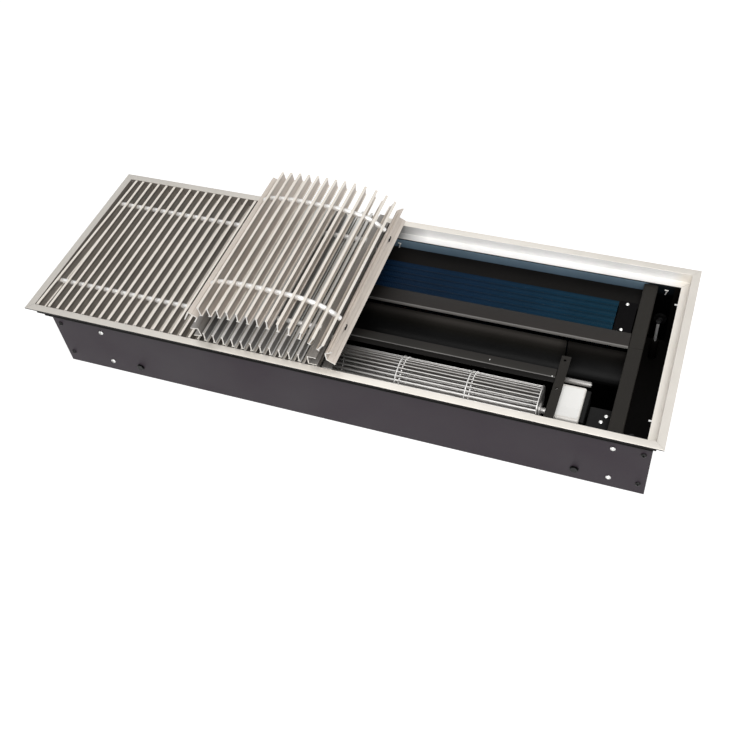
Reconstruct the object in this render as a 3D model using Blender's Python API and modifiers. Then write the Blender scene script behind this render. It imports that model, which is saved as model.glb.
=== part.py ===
"""Floor fan convector: a sheet steel trough under a trim frame, with a lengthwise
exchanger, a tangential fan and a roll-up grille of cross slats. One grille section
lies in the frame, a second lies on it and a third stands on that one as an arch.

The layout is measured from the frame's outer front left corner: x to the right,
y to the back, z down from the frame's top as negative values. The finished parts are
moved so that the origin is the middle of the underside.
"""

import math

import bmesh
import bpy
from mathutils import Matrix, Vector

MM = 0.001
GAP = 0.3 * MM
WELD = 0.001 * MM
SHEET = 1.2 * MM
SMOOTH_ANGLE = math.radians(50)
SHARPEST_MITRE = 0.2

# Casing
CASING_LENGTH = 800 * MM
CASING_WIDTH = 250 * MM
TOTAL_DEPTH = 120 * MM
RIM_WIDTH = 10.5 * MM
END_FLANGE = 16 * MM
END_SCREW_INSET = 9 * MM
UPPER_SCREW_Z = -42 * MM
LOWER_SCREW_HEIGHT = 20 * MM
ANCHOR_LEFT_INSET = 117.2 * MM
ANCHOR_RIGHT_INSET = 84.3 * MM
PIPE_HOLE_RADIUS = 11.5 * MM
TONGUE_LENGTH = 12 * MM
TONGUE_WIDTH = 2.4 * MM
TONGUE_FRONT_INSET = 30.3 * MM
TONGUE_BACK_INSET = 29.3 * MM

# Trim frame
LEFT_OVERHANG = 20.5 * MM
RIGHT_OVERHANG = 11.5 * MM
LONG_OVERHANG = 18.5 * MM
FRAME_HEIGHT = 16 * MM
FLANGE_WIDTH = 10 * MM
FLANGE_THICKNESS = 1.8 * MM
LEG_THICKNESS = 1.6 * MM
LEDGE_WIDTH = 10 * MM

# Partitions at both ends of the air space
LEFT_BAY = 83.5 * MM
RIGHT_BAY = 53.5 * MM
PARTITION_FLANGE = 17.5 * MM
PARTITION_TOP = -19 * MM
PARTITION_LIP = 6 * MM
PARTITION_SCREW_OFFSET = 10 * MM
TAB_WIDTH = 16 * MM
TAB_TOP = -32 * MM
TAB_FLOOR_GAP = 8.8 * MM

# Exchanger
FIN_WIDTH = 52 * MM
FIN_WALL_GAP = 36.3 * MM
FIN_TOP = -22 * MM
FIN_FLOOR_GAP = 21.8 * MM
FIN_WAVES = 5
FIN_WAVE_DEPTH = 2 * MM
BRACKET_REACH = 22 * MM
BRACKET_FOOT = 14 * MM
BRACKET_SCREW_OFFSET = 10 * MM
BRACKET_SCREW_FRONT = 2.7 * MM
BRACKET_SCREW_BACK = 4.8 * MM
TUBE_RADIUS = 6 * MM
TUBE_HOLE_RADIUS = 6.9 * MM
TUBE_INSET = 13 * MM
TUBE_UPPER_Z = -44 * MM
TUBE_LOWER_Z = -68 * MM
TUBE_STUB = 42 * MM
TUBE_BEND_POINTS = 4
UNION_RADIUS = 10 * MM
UNION_BORE_RADIUS = 7 * MM
UNION_LENGTH = 24 * MM
UNION_BORE_DEPTH = 12 * MM
UNION_SIDES = 8
VENT_RADIUS = 4.5 * MM
VENT_HEIGHT = 10 * MM
VENT_SCREW_RADIUS = 1.8 * MM
VENT_SCREW_DEPTH = 5 * MM
VENT_HEAD_RADIUS = 3.6 * MM
VENT_HEAD_HEIGHT = 3 * MM
VENT_SLOT_WIDTH = 0.8 * MM

# Cover strips beside the exchanger
CENTRE_STRIP_WIDTH = 24 * MM
STRIP_LIP = 4 * MM
REAR_STRIP_Z = -31 * MM

# Tangential fan
FAN_WALL_GAP = 39.3 * MM
FAN_Z = -54 * MM
LEFT_SUPPORT_OFFSET = 43.5 * MM
RIGHT_SUPPORT_OFFSET = 73.2 * MM
ROTOR_LEFT_GAP = 5.5 * MM
ROTOR_RIGHT_GAP = 11 * MM
ROTOR_SECTIONS = 6
BLADES = 24
BLADE_OUTER_RADIUS = 29.4 * MM
BLADE_INNER_RADIUS = 23.6 * MM
BLADE_THICKNESS = 0.8 * MM
BLADE_SWEEP = math.radians(16)
BLADE_STEPS = 3
RING_INNER_RADIUS = 30.3 * MM
RING_OUTER_RADIUS = 31.2 * MM
RING_WIDTH = 1.2 * MM
RING_SIDES = 18
SHAFT_RADIUS = 4 * MM
SHAFT_SIDES = 12
SHAFT_BORE_RADIUS = 4.5 * MM
BUSH_RADIUS = 9 * MM
BUSH_REACH = 5 * MM
SUPPORT_WALL_GAP = 2.3 * MM
SUPPORT_WIDTH = 99 * MM
STRAP_WIDTH = 11.7 * MM
STRAP_HOLE_RADIUS = 1.8 * MM
STRAP_HOLE_FRONT = 47 * MM
STRAP_HOLE_BACK = 92 * MM
STRAP_HOLE_OFFSET = 5.4 * MM
SCROLL_START_ANGLE = math.radians(192)
SCROLL_END_ANGLE = math.radians(275)
SCROLL_STEPS = 6
SCROLL_NEAR_RADIUS = 35 * MM
SCROLL_FLOOR_GAP = 21 * MM
SCROLL_END_GAP = 6 * MM
SCROLL_END_HEIGHT = 12 * MM
LIP_OFFSET = 20 * MM
LIP_WIDTH = 14 * MM
LIP_HEM = 1.5 * MM
GUIDE_LOW_Z = -55 * MM
GUIDE_SEAM_GAP = 3 * MM
GUIDE_END_Z = -27 * MM
GUIDE_FULLNESS = 0.7
GUIDE_STEPS = 7
SCREEN_FIRST_STEP = 3

# Motor and terminal box
MOTOR_WALL_GAP = 14.3 * MM
MOTOR_WIDTH = 52.5 * MM
MOTOR_TOP = -28 * MM
MOTOR_BOTTOM = -80 * MM
MOTOR_REACH = 38.7 * MM
MOTOR_EDGE = 2.5 * MM
CAP_LENGTH = 5.5 * MM
CAP_INSET = 2 * MM
ROD_OFFSET = 7 * MM
ROD_Z = -30 * MM
ROD_RADIUS = 3.4 * MM
ROD_REACH = 42.2 * MM
ROD_SIDES = 10
TERMINAL_LENGTH = 26 * MM
TERMINAL_WIDTH = 46.3 * MM
TERMINAL_TOP = -35 * MM
TERMINAL_BOTTOM = -90 * MM
TERMINAL_LID = 4 * MM
LID_FRONT_SCREW = (10 * MM, 26.8 * MM)
LID_BACK_SCREW = (5.5 * MM, 36.3 * MM)
GLAND_OFFSET = 27 * MM
GLAND_Z = -75 * MM
GLAND_RADIUS = 8 * MM
GLAND_BORE_RADIUS = 4 * MM
GLAND_REACH = 7 * MM
GLAND_NUT = 4 * MM
GLAND_NECK_RADIUS = 5.8 * MM
GLAND_SIDES = 8

# Screws
SCREW_SIDES = 6
SCREW_HEAD_RADIUS = 3.4 * MM
SCREW_HEAD_HEIGHT = 1.6 * MM
SCREW_SHANK_RADIUS = 1.7 * MM
SCREW_LENGTH = 7 * MM
SMALL_HEAD_RADIUS = 2.4 * MM
ANCHOR_HEAD_RADIUS = 5.5 * MM
ANCHOR_HEAD_HEIGHT = 2.4 * MM
HEAD_CROWN = 0.7
HEAD_SHOULDER = 0.4
LEVEL_X_INSET = 27 * MM
LEVEL_FRONT_INSET = 27.3 * MM
LEVEL_BACK_INSET = 32.3 * MM
LEVEL_TOP = -49 * MM
LEVEL_RADIUS = 2 * MM
LEVEL_HEAD_RADIUS = 3.2 * MM
LEVEL_HEAD_HEIGHT = 2.2 * MM
LEVEL_NUT_RADIUS = 5.5 * MM
LEVEL_NUT_HEIGHT = 34.8 * MM
LEVEL_SIDES = 8

# Grille slats
SLAT_HEIGHT = 14 * MM
SLAT_WIDTH = 5.2 * MM
SLAT_FLANGE = 1.6 * MM
SLAT_WEB = 1.4 * MM
SLAT_TAPER = 0.4 * MM
SLAT_FRONT_Y = 11 * MM
SPRING_FRONT_Y = 65 * MM
SPRING_BACK_INSET = 58 * MM
SLEEVE_RADIUS = 3.3 * MM
SLEEVE_REACH = 1.2 * MM
HOOK_WIRE = 0.8 * MM
HOOK_WIDTH = 5 * MM
PROFILE_FLANGE = 12 * MM
PROFILE_SHEET = 1.5 * MM

# Grille section that lies in the frame, its left slat a little askew
LYING_END_X = 16.8 * MM
LYING_END_TURN = math.radians(1.5)
LYING_FIRST_X = 31.5 * MM
LYING_PITCH = 13.18 * MM
LYING_SLATS = 30
LYING_PROFILE_STEP = 11.28 * MM

# Grille section that lies on the first one
UPPER_FIRST_X = 266.6 * MM
UPPER_PITCH = 12.87 * MM
UPPER_SLATS = 11
UPPER_PROFILE_STEP = 11.7 * MM
UPPER_LEFT_TOP = (261.2 * MM, 22 * MM)
UPPER_LEFT_TILT = math.radians(10)

# Grille section that stands as an arch: slat middles along it, then both end profiles
ARCH_MIDDLES = (
    (271.0 * MM, 54.3 * MM),
    (283.8 * MM, 56.1 * MM),
    (296.8 * MM, 57.1 * MM),
    (309.8 * MM, 57.5 * MM),
    (322.8 * MM, 57.4 * MM),
    (335.8 * MM, 57.0 * MM),
    (348.8 * MM, 56.4 * MM),
    (361.8 * MM, 56.0 * MM),
    (375.6 * MM, 55.0 * MM),
    (389.8 * MM, 52.6 * MM),
    (404.0 * MM, 49.2 * MM),
    (416.8 * MM, 43.6 * MM),
    (427.6 * MM, 35.6 * MM),
)
ARCH_LEFT_END = (260.1 * MM, 48.2 * MM)
ARCH_LEFT_TOP = (253.6 * MM, 49.6 * MM)
ARCH_LEFT_TILT = math.radians(60)
ARCH_LONG_FLANGE = 18 * MM
ARCH_LEFT_SEAT = (259.7 * MM, 32.2 * MM)
ARCH_RIGHT_END = (432.4 * MM, 30.5 * MM)
ARCH_RIGHT_TOP = (441.2 * MM, 28.5 * MM)
ARCH_RIGHT_TILT = math.radians(85)
ARCH_HANGING_FLANGE = 21 * MM
ARCH_RIGHT_SEAT = (428.3 * MM, 15.3 * MM)

# Places of the casing and the frame
CASING_LEFT = LEFT_OVERHANG
CASING_RIGHT = CASING_LEFT + CASING_LENGTH
CASING_FRONT = LONG_OVERHANG
CASING_BACK = CASING_FRONT + CASING_WIDTH
FRAME_LENGTH = CASING_RIGHT + RIGHT_OVERHANG
FRAME_WIDTH = CASING_BACK + LONG_OVERHANG
INNER_FRONT = CASING_FRONT + SHEET
INNER_BACK = CASING_BACK - SHEET
BOTTOM = -TOTAL_DEPTH
FLOOR = BOTTOM + SHEET
RIM_TOP = -FRAME_HEIGHT - GAP
LEDGE_EDGE = FLANGE_WIDTH + LEDGE_WIDTH
LOWER_SCREW_Z = BOTTOM + LOWER_SCREW_HEIGHT
ANCHOR_XS = (CASING_LEFT + ANCHOR_LEFT_INSET, CASING_RIGHT - ANCHOR_RIGHT_INSET)
TO_ORIGIN = Vector((-FRAME_LENGTH / 2, -FRAME_WIDTH / 2, TOTAL_DEPTH))

# Places of the exchanger and the partitions
LEFT_WEB_X = CASING_LEFT + LEFT_BAY
RIGHT_WEB_X = CASING_RIGHT - RIGHT_BAY
AIR_LEFT = LEFT_WEB_X + GAP
AIR_RIGHT = RIGHT_WEB_X - GAP
FIN_BACK_Y = INNER_BACK - FIN_WALL_GAP
FIN_FRONT_Y = FIN_BACK_Y - FIN_WIDTH
FIN_BOTTOM = FLOOR + FIN_FLOOR_GAP
FIN_LEFT = AIR_LEFT + BRACKET_REACH + SHEET + GAP
FIN_RIGHT = AIR_RIGHT - BRACKET_REACH - SHEET - GAP
TUBE_FRONT_Y = FIN_FRONT_Y + TUBE_INSET
TUBE_BACK_Y = FIN_BACK_Y - TUBE_INSET
TUBE_END_X = LEFT_WEB_X - TUBE_STUB
PARTITION_SEAM_Y = FIN_FRONT_Y - CENTRE_STRIP_WIDTH

# Places of the fan and the motor
FAN_Y = INNER_FRONT + FAN_WALL_GAP
LEFT_SUPPORT_X = LEFT_WEB_X + LEFT_SUPPORT_OFFSET
RIGHT_SUPPORT_X = RIGHT_WEB_X - RIGHT_SUPPORT_OFFSET
SUPPORT_FRONT_Y = INNER_FRONT + SUPPORT_WALL_GAP
ROTOR_LEFT = LEFT_SUPPORT_X + ROTOR_LEFT_GAP
ROTOR_RIGHT = RIGHT_SUPPORT_X - ROTOR_RIGHT_GAP
ROTOR_SECTION = (ROTOR_RIGHT - ROTOR_LEFT) / ROTOR_SECTIONS
SCROLL_FAR_RADIUS = TOTAL_DEPTH + FAN_Z - SCROLL_FLOOR_GAP
LIP_FRONT_Y = FAN_Y + LIP_OFFSET
LIP_BACK_Y = LIP_FRONT_Y + LIP_WIDTH
GUIDE_END_Y = PARTITION_SEAM_Y - GUIDE_SEAM_GAP
MOTOR_LEFT_X = RIGHT_SUPPORT_X + SHEET + GAP
MOTOR_RIGHT_X = RIGHT_SUPPORT_X + MOTOR_REACH
MOTOR_FRONT_Y = INNER_FRONT + MOTOR_WALL_GAP
MOTOR_BACK_Y = MOTOR_FRONT_Y + MOTOR_WIDTH
GLAND_X = RIGHT_WEB_X + GLAND_OFFSET

# Places of the grille
SLAT_LENGTH = FRAME_WIDTH - 2 * SLAT_FRONT_Y
SPRING_YS = (SPRING_FRONT_Y, FRAME_WIDTH - SPRING_BACK_INSET)
LYING_RIGHT_WEB_X = LYING_FIRST_X + (LYING_SLATS - 1) * LYING_PITCH + LYING_PROFILE_STEP
UPPER_RIGHT_WEB_X = UPPER_FIRST_X + (UPPER_SLATS - 1) * UPPER_PITCH + UPPER_PROFILE_STEP

ALONG_X = Matrix(((0, 0, 1, 0), (1, 0, 0, 0), (0, 1, 0, 0), (0, 0, 0, 1)))
ALONG_Y = Matrix(((1, 0, 0, 0), (0, 0, 1, 0), (0, 1, 0, 0), (0, 0, 0, 1)))
MIRROR_X = Matrix.Diagonal((-1, 1, 1, 1))
HEAD_TO_FRONT = Matrix.Rotation(math.radians(90), 4, "X")
HEAD_TO_BACK = Matrix.Rotation(math.radians(-90), 4, "X")
HEAD_TO_RIGHT = Matrix.Rotation(math.radians(90), 4, "Y")
HEAD_TO_LEFT = Matrix.Rotation(math.radians(-90), 4, "Y")

MATERIALS = {
    "champagne_aluminium": ((0.80, 0.77, 0.72), 1.0, 0.38),
    "slat_aluminium": ((0.82, 0.79, 0.74), 1.0, 0.35),
    "black_steel": ((0.035, 0.032, 0.034), 0.0, 0.45),
    "charcoal_steel": ((0.055, 0.05, 0.052), 0.0, 0.5),
    "blue_fins": ((0.012, 0.055, 0.10), 0.2, 0.4),
    "copper": ((0.72, 0.33, 0.18), 1.0, 0.3),
    "brass": ((0.75, 0.55, 0.25), 1.0, 0.3),
    "bright_steel": ((0.75, 0.75, 0.74), 1.0, 0.22),
    "motor_white": ((0.83, 0.80, 0.75), 0.0, 0.4),
    "black_plastic": ((0.02, 0.02, 0.02), 0.0, 0.5),
}


def new_collection(name):
    collection = bpy.data.collections.new(name)
    bpy.context.scene.collection.children.link(collection)
    return collection


def new_material(name, colour, metallic, roughness):
    material = bpy.data.materials.new(name)
    material.use_nodes = True
    shader = material.node_tree.nodes["Principled BSDF"]
    shader.inputs["Base Color"].default_value = (*colour, 1)
    shader.inputs["Metallic"].default_value = metallic
    shader.inputs["Roughness"].default_value = roughness
    return material


def add_copy(target, source, matrix):
    """Adds a copy of one bmesh to another, moved by the matrix."""
    mesh = bpy.data.meshes.new("copy")
    source.to_mesh(mesh)
    mesh.transform(matrix)
    target.from_mesh(mesh)
    bpy.data.meshes.remove(mesh)


def extruded(outlines, length, matrix=None):
    """A flat outline and its holes as a prism of this length, from local z 0 upwards."""
    curve = bpy.data.curves.new("outline", "CURVE")
    curve.dimensions = "2D"
    curve.fill_mode = "BOTH"
    curve.extrude = length / 2
    for outline in outlines:
        spline = curve.splines.new("POLY")
        spline.points.add(len(outline) - 1)
        spline.use_cyclic_u = True
        for point, (u, v) in zip(spline.points, outline):
            point.co = (u, v, 0, 1)
    helper = bpy.data.objects.new("outline", curve)
    mesh = bpy.data.meshes.new_from_object(helper)
    solid = bmesh.new()
    solid.from_mesh(mesh)
    bpy.data.objects.remove(helper)
    bpy.data.curves.remove(curve)
    bpy.data.meshes.remove(mesh)
    bmesh.ops.remove_doubles(solid, verts=solid.verts, dist=WELD)
    bmesh.ops.translate(solid, verts=solid.verts, vec=(0, 0, length / 2))
    if matrix is not None:
        bmesh.ops.transform(solid, matrix=matrix, verts=solid.verts)
    return solid


def along_x(outline, start, end, holes=()):
    """A prism whose outline is given as (y, z)."""
    place = Matrix.Translation((start, 0, 0)) @ ALONG_X
    return extruded([outline, *holes], end - start, place)


def along_y(outline, start, end, holes=()):
    """A prism whose outline is given as (x, z)."""
    place = Matrix.Translation((0, start, 0)) @ ALONG_Y
    return extruded([outline, *holes], end - start, place)


def along_z(outline, start, end, holes=()):
    """A prism whose outline is given as (x, y)."""
    place = Matrix.Translation((0, 0, start))
    return extruded([outline, *holes], end - start, place)


def sheet_outline(path, thickness=SHEET):
    """The outline of a bent sheet: the path, and the same path offset to its left."""
    offset = []
    for index, point in enumerate(path):
        here = Vector(point)
        before = here - Vector(path[max(index - 1, 0)])
        after = Vector(path[min(index + 1, len(path) - 1)]) - here
        before = before.normalized() if before.length else after.normalized()
        after = after.normalized() if after.length else before
        normal = Vector((-before.y - after.y, before.x + after.x)).normalized()
        reach = thickness / max(normal.dot(Vector((-before.y, before.x))), SHARPEST_MITRE)
        offset.append(tuple(here + normal * reach))
    return list(path) + offset[::-1]


def circle(centre, radius, sides, turn=0.0):
    """A regular outline round the centre."""
    angles = [turn + math.tau * index / sides for index in range(sides)]
    return [(centre[0] + radius * math.cos(a), centre[1] + radius * math.sin(a)) for a in angles]


def block(low, high, edge=0.0):
    """A box between two corners, its edges rounded by one bevel."""
    solid = bmesh.new()
    bmesh.ops.create_cube(solid, size=1)
    size = [b - a for a, b in zip(low, high)]
    middle = [(a + b) / 2 for a, b in zip(low, high)]
    bmesh.ops.transform(solid, matrix=Matrix.Diagonal((*size, 1)), verts=solid.verts)
    bmesh.ops.translate(solid, verts=solid.verts, vec=middle)
    if edge:
        bmesh.ops.bevel(solid, geom=solid.edges[:], offset=edge, segments=1, affect="EDGES")
    return solid


def turned(profile, sides, looped=False):
    """A turned solid. Its (radius, height) points run from the top down the outer side."""
    points = [(radius, 0, height) for radius, height in profile]
    edges = [(index, index + 1) for index in range(len(points) - 1)]
    if looped:
        edges.append((len(points) - 1, 0))
    outline = bpy.data.meshes.new("profile")
    outline.from_pydata(points, edges, [])
    helper = bpy.data.objects.new("profile", outline)
    bpy.context.scene.collection.objects.link(helper)
    screw = helper.modifiers.new("turn", "SCREW")
    screw.angle = math.tau
    screw.steps = sides
    screw.render_steps = sides
    screw.use_merge_vertices = True
    screw.merge_threshold = WELD
    graph = bpy.context.evaluated_depsgraph_get()
    mesh = bpy.data.meshes.new_from_object(helper.evaluated_get(graph))
    solid = bmesh.new()
    solid.from_mesh(mesh)
    bpy.data.objects.remove(helper)
    bpy.data.meshes.remove(outline)
    bpy.data.meshes.remove(mesh)
    return solid


def ring(inner, outer, width, sides):
    """A flat ring of this width along local z."""
    return extruded([circle((0, 0), outer, sides), circle((0, 0), inner, sides)], width)


def screw_solid(head_radius, head_height, shank_radius, length, sides=SCREW_SIDES):
    """A screw with the underside of its head at z 0 and its shank pointing down."""
    profile = (
        (0, head_height),
        (head_radius * HEAD_CROWN, head_height),
        (head_radius, head_height * HEAD_SHOULDER),
        (head_radius, 0),
        (shank_radius, 0),
        (shank_radius, -length),
        (0, -length),
    )
    return turned(profile, sides)


def swept(points, radius, resolution=2):
    """A round tube along the points, closed at its ends."""
    curve = bpy.data.curves.new("path", "CURVE")
    curve.dimensions = "3D"
    curve.bevel_depth = radius
    curve.bevel_resolution = resolution
    curve.use_fill_caps = True
    spline = curve.splines.new("POLY")
    spline.points.add(len(points) - 1)
    for point, place in zip(spline.points, points):
        point.co = (*place, 1)
    helper = bpy.data.objects.new("path", curve)
    mesh = bpy.data.meshes.new_from_object(helper)
    solid = bmesh.new()
    solid.from_mesh(mesh)
    bpy.data.objects.remove(helper)
    bpy.data.curves.remove(curve)
    bpy.data.meshes.remove(mesh)
    bmesh.ops.remove_doubles(solid, verts=solid.verts, dist=WELD)
    return solid


def make_object(name, solids, collection, origin=(0, 0, 0)):
    """One object from a list of (bmesh, matrix) solids, with its origin at this place."""
    joined = bmesh.new()
    for solid, matrix in solids:
        add_copy(joined, solid, matrix)
    bmesh.ops.recalc_face_normals(joined, faces=joined.faces)
    mesh = bpy.data.meshes.new(name)
    joined.to_mesh(mesh)
    joined.free()
    mesh.shade_smooth()
    mesh.set_sharp_from_angle(angle=SMOOTH_ANGLE)
    mesh.transform(Matrix.Translation(-Vector(origin)))
    part = bpy.data.objects.new(name, mesh)
    part.location = Vector(origin) + TO_ORIGIN
    collection.objects.link(part)
    return part


def add_part(name, material, solids, origin=(0, 0, 0)):
    placed = [solid if isinstance(solid, tuple) else (solid, Matrix()) for solid in solids]
    part = make_object(name, placed, parts, origin)
    part.data.materials.append(materials[material])
    return part


def add_tool(name, solids):
    placed = [solid if isinstance(solid, tuple) else (solid, Matrix()) for solid in solids]
    tool = make_object(name, placed, cutters)
    tool.hide_render = True
    tool.display_type = "WIRE"
    return tool


def combine(targets, name, solids, operation):
    """Adds the solids to every target, or takes them away."""
    tool = add_tool(name, solids)
    for target in targets:
        modifier = target.modifiers.new(name, "BOOLEAN")
        modifier.operation = operation
        modifier.solver = "EXACT"
        modifier.object = tool


def cut(targets, name, solids):
    combine(targets, name, solids, "DIFFERENCE")


def fuse(target, name, solids):
    combine([target], name, solids, "UNION")


def mitred(outline, length):
    """A frame bar along x: its outline is (inset, z), and each end is cut back by its inset."""
    bar = along_x(outline, 0, length)
    for vert in bar.verts:
        inset = vert.co.y + GAP / 2
        vert.co.x += inset if vert.co.x < length / 2 else -inset
    return bar


def build_frame():
    outline = [
        (0, 0),
        (FLANGE_WIDTH, 0),
        (FLANGE_WIDTH, -FRAME_HEIGHT + LEG_THICKNESS),
        (LEDGE_EDGE, -FRAME_HEIGHT + LEG_THICKNESS),
        (LEDGE_EDGE, -FRAME_HEIGHT),
        (FLANGE_WIDTH - LEG_THICKNESS, -FRAME_HEIGHT),
        (FLANGE_WIDTH - LEG_THICKNESS, -FLANGE_THICKNESS),
        (0, -FLANGE_THICKNESS),
    ]
    half_turn = Matrix.Rotation(math.pi, 4, "Z")
    quarter_turn = Matrix.Rotation(math.pi / 2, 4, "Z")
    long_bar = mitred(outline, FRAME_LENGTH)
    short_bar = mitred(outline, FRAME_WIDTH)
    back = Matrix.Translation((FRAME_LENGTH, FRAME_WIDTH, 0)) @ half_turn
    right = Matrix.Translation((FRAME_LENGTH, 0, 0)) @ quarter_turn
    left = Matrix.Translation((0, FRAME_WIDTH, 0)) @ quarter_turn.inverted()
    add_part("frame_front_bar", "champagne_aluminium", [long_bar])
    add_part("frame_back_bar", "champagne_aluminium", [(long_bar, back)])
    add_part("frame_right_bar", "champagne_aluminium", [(short_bar, right)])
    add_part("frame_left_bar", "champagne_aluminium", [(short_bar, left)])


def tongues():
    """The tongues that reach inwards from an end plate's top, under the frame's ledge."""
    solids = []
    for y in (INNER_FRONT + TONGUE_FRONT_INSET, INNER_BACK - TONGUE_BACK_INSET):
        low = (SHEET / 2, y - TONGUE_WIDTH / 2, RIM_TOP - 2 * SHEET)
        solids.append(block(low, (TONGUE_LENGTH, y + TONGUE_WIDTH / 2, RIM_TOP - SHEET)))
    return solids


def build_casing():
    path = [
        (CASING_FRONT - RIM_WIDTH, RIM_TOP - SHEET),
        (CASING_FRONT, RIM_TOP - SHEET),
        (CASING_FRONT, FLOOR),
        (INNER_FRONT, BOTTOM),
        (INNER_BACK, BOTTOM),
        (CASING_BACK, FLOOR),
        (CASING_BACK, RIM_TOP - SHEET),
        (CASING_BACK + RIM_WIDTH, RIM_TOP - SHEET),
    ]
    outline = sheet_outline(path)
    trough = add_part("casing_trough", "black_steel", [along_x(outline, CASING_LEFT, CASING_RIGHT)])
    bottom = FLOOR + GAP
    front = INNER_FRONT + GAP
    back = INNER_BACK - GAP
    folded = sheet_outline([(END_FLANGE, front), (0, front), (0, back), (END_FLANGE, back)][::-1])
    plate = along_z(folded, bottom, RIM_TOP)
    left_place = Matrix.Translation((CASING_LEFT, 0, 0))
    right_place = Matrix.Translation((CASING_RIGHT, 0, 0)) @ MIRROR_X
    left = add_part("casing_end_left", "black_steel", [(plate, left_place)])
    right = add_part("casing_end_right", "black_steel", [(plate, right_place)])
    fuse(left, "left_tongues", [(tongue, left_place) for tongue in tongues()])
    fuse(right, "right_tongues", [(tongue, right_place) for tongue in tongues()])
    pipe_holes = [
        along_x(circle((y, TUBE_LOWER_Z), PIPE_HOLE_RADIUS, 12), CASING_LEFT - SHEET,
                CASING_LEFT + 2 * SHEET)
        for y in (TUBE_FRONT_Y, TUBE_BACK_Y)
    ]
    cut([left], "cut_pipe_holes", pipe_holes)
    gland_hole = along_y(circle((GLAND_X, GLAND_Z), GLAND_NECK_RADIUS + GAP, GLAND_SIDES),
                         CASING_BACK - 2 * SHEET, CASING_BACK + SHEET)
    cut([trough], "cut_gland_hole", [gland_hole])
    return trough


def build_partitions():
    """Folded sheets across the casing at both ends of the air space, in two pieces each."""
    outline = sheet_outline(
        [
            (0, FLOOR + GAP),
            (0, PARTITION_TOP),
            (PARTITION_FLANGE, PARTITION_TOP),
            (PARTITION_FLANGE, PARTITION_TOP - PARTITION_LIP),
        ][::-1]
    )
    left_place = Matrix.Translation((LEFT_WEB_X, 0, 0)) @ MIRROR_X
    right_place = Matrix.Translation((RIGHT_WEB_X, 0, 0))
    front = along_y(outline, INNER_FRONT + GAP, PARTITION_SEAM_Y - GAP)
    back = along_y(outline, PARTITION_SEAM_Y, INNER_BACK - GAP)
    tab_bottom = FLOOR + TAB_FLOOR_GAP
    front_tab = block(
        (SHEET / 3, INNER_FRONT + 2 * GAP, tab_bottom),
        (TAB_WIDTH, INNER_FRONT + 2 * GAP + SHEET, TAB_TOP),
    )
    back_tab = block(
        (SHEET / 3, INNER_BACK - 2 * GAP - SHEET, tab_bottom),
        (TAB_WIDTH, INNER_BACK - 2 * GAP, TAB_TOP),
    )
    made = {}
    for side, place in (("left", left_place), ("right", right_place)):
        for depth, solid, tab in (("front", front, front_tab), ("back", back, back_tab)):
            name = f"partition_{depth}_{side}"
            made[name] = add_part(name, "charcoal_steel", [(solid, place)])
            fuse(made[name], f"tab_{depth}_{side}", [(tab, place)])
    tube_holes = [
        along_x(circle((y, TUBE_LOWER_Z), TUBE_HOLE_RADIUS, 8), LEFT_WEB_X - PARTITION_FLANGE / 2,
                LEFT_WEB_X + SHEET)
        for y in (TUBE_FRONT_Y, TUBE_BACK_Y)
    ]
    cut([made["partition_back_left"]], "cut_partition_tubes", tube_holes)
    return list(made.values())


def on_walls(solid, places, lift):
    """The solid on both long walls at (x, z) places, its head this far off the wall."""
    front = CASING_FRONT - lift
    back = CASING_BACK + lift
    solids = [(solid, Matrix.Translation((x, front, z)) @ HEAD_TO_FRONT) for x, z in places]
    solids += [(solid, Matrix.Translation((x, back, z)) @ HEAD_TO_BACK) for x, z in places]
    return solids


def build_wall_screws(trough, partitions):
    """Dark screws at the casing's ends, anchor bolts, and bright screws at the partitions."""
    stub = SHEET / 2
    dark = screw_solid(SCREW_HEAD_RADIUS, SCREW_HEAD_HEIGHT, SCREW_SHANK_RADIUS, stub)
    anchor = screw_solid(ANCHOR_HEAD_RADIUS, ANCHOR_HEAD_HEIGHT, SCREW_SHANK_RADIUS, stub)
    heights = (UPPER_SCREW_Z, LOWER_SCREW_Z)
    end_xs = (CASING_LEFT + END_SCREW_INSET, CASING_RIGHT - END_SCREW_INSET)
    end_places = [(x, z) for x in end_xs for z in heights]
    fuse(trough, "end_plate_screws", on_walls(dark, end_places, -SHEET / 4))
    anchor_places = [(x, LOWER_SCREW_Z) for x in ANCHOR_XS]
    fuse(trough, "anchor_bolts", on_walls(anchor, anchor_places, -SHEET / 4))
    bright = screw_solid(SCREW_HEAD_RADIUS, SCREW_HEAD_HEIGHT, SCREW_SHANK_RADIUS, SCREW_LENGTH)
    holes = []
    for side, x in (
        ("left", LEFT_WEB_X - PARTITION_SCREW_OFFSET),
        ("right", RIGHT_WEB_X + PARTITION_SCREW_OFFSET),
    ):
        for level, z in (("upper", UPPER_SCREW_Z), ("lower", LOWER_SCREW_Z)):
            front, back = on_walls(bright, [(x, z)], GAP)
            add_part(f"bracket_screw_front_{side}_{level}", "bright_steel", [front])
            add_part(f"bracket_screw_back_{side}_{level}", "bright_steel", [back])
            outline = circle((x, z), SCREW_SHANK_RADIUS + GAP, SCREW_SIDES)
            holes.append(along_y(outline, CASING_FRONT - SHEET, CASING_FRONT + SCREW_LENGTH))
            holes.append(along_y(outline, CASING_BACK - SCREW_LENGTH, CASING_BACK + SHEET))
    cut([trough, *partitions], "cut_bracket_screws", holes)


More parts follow.
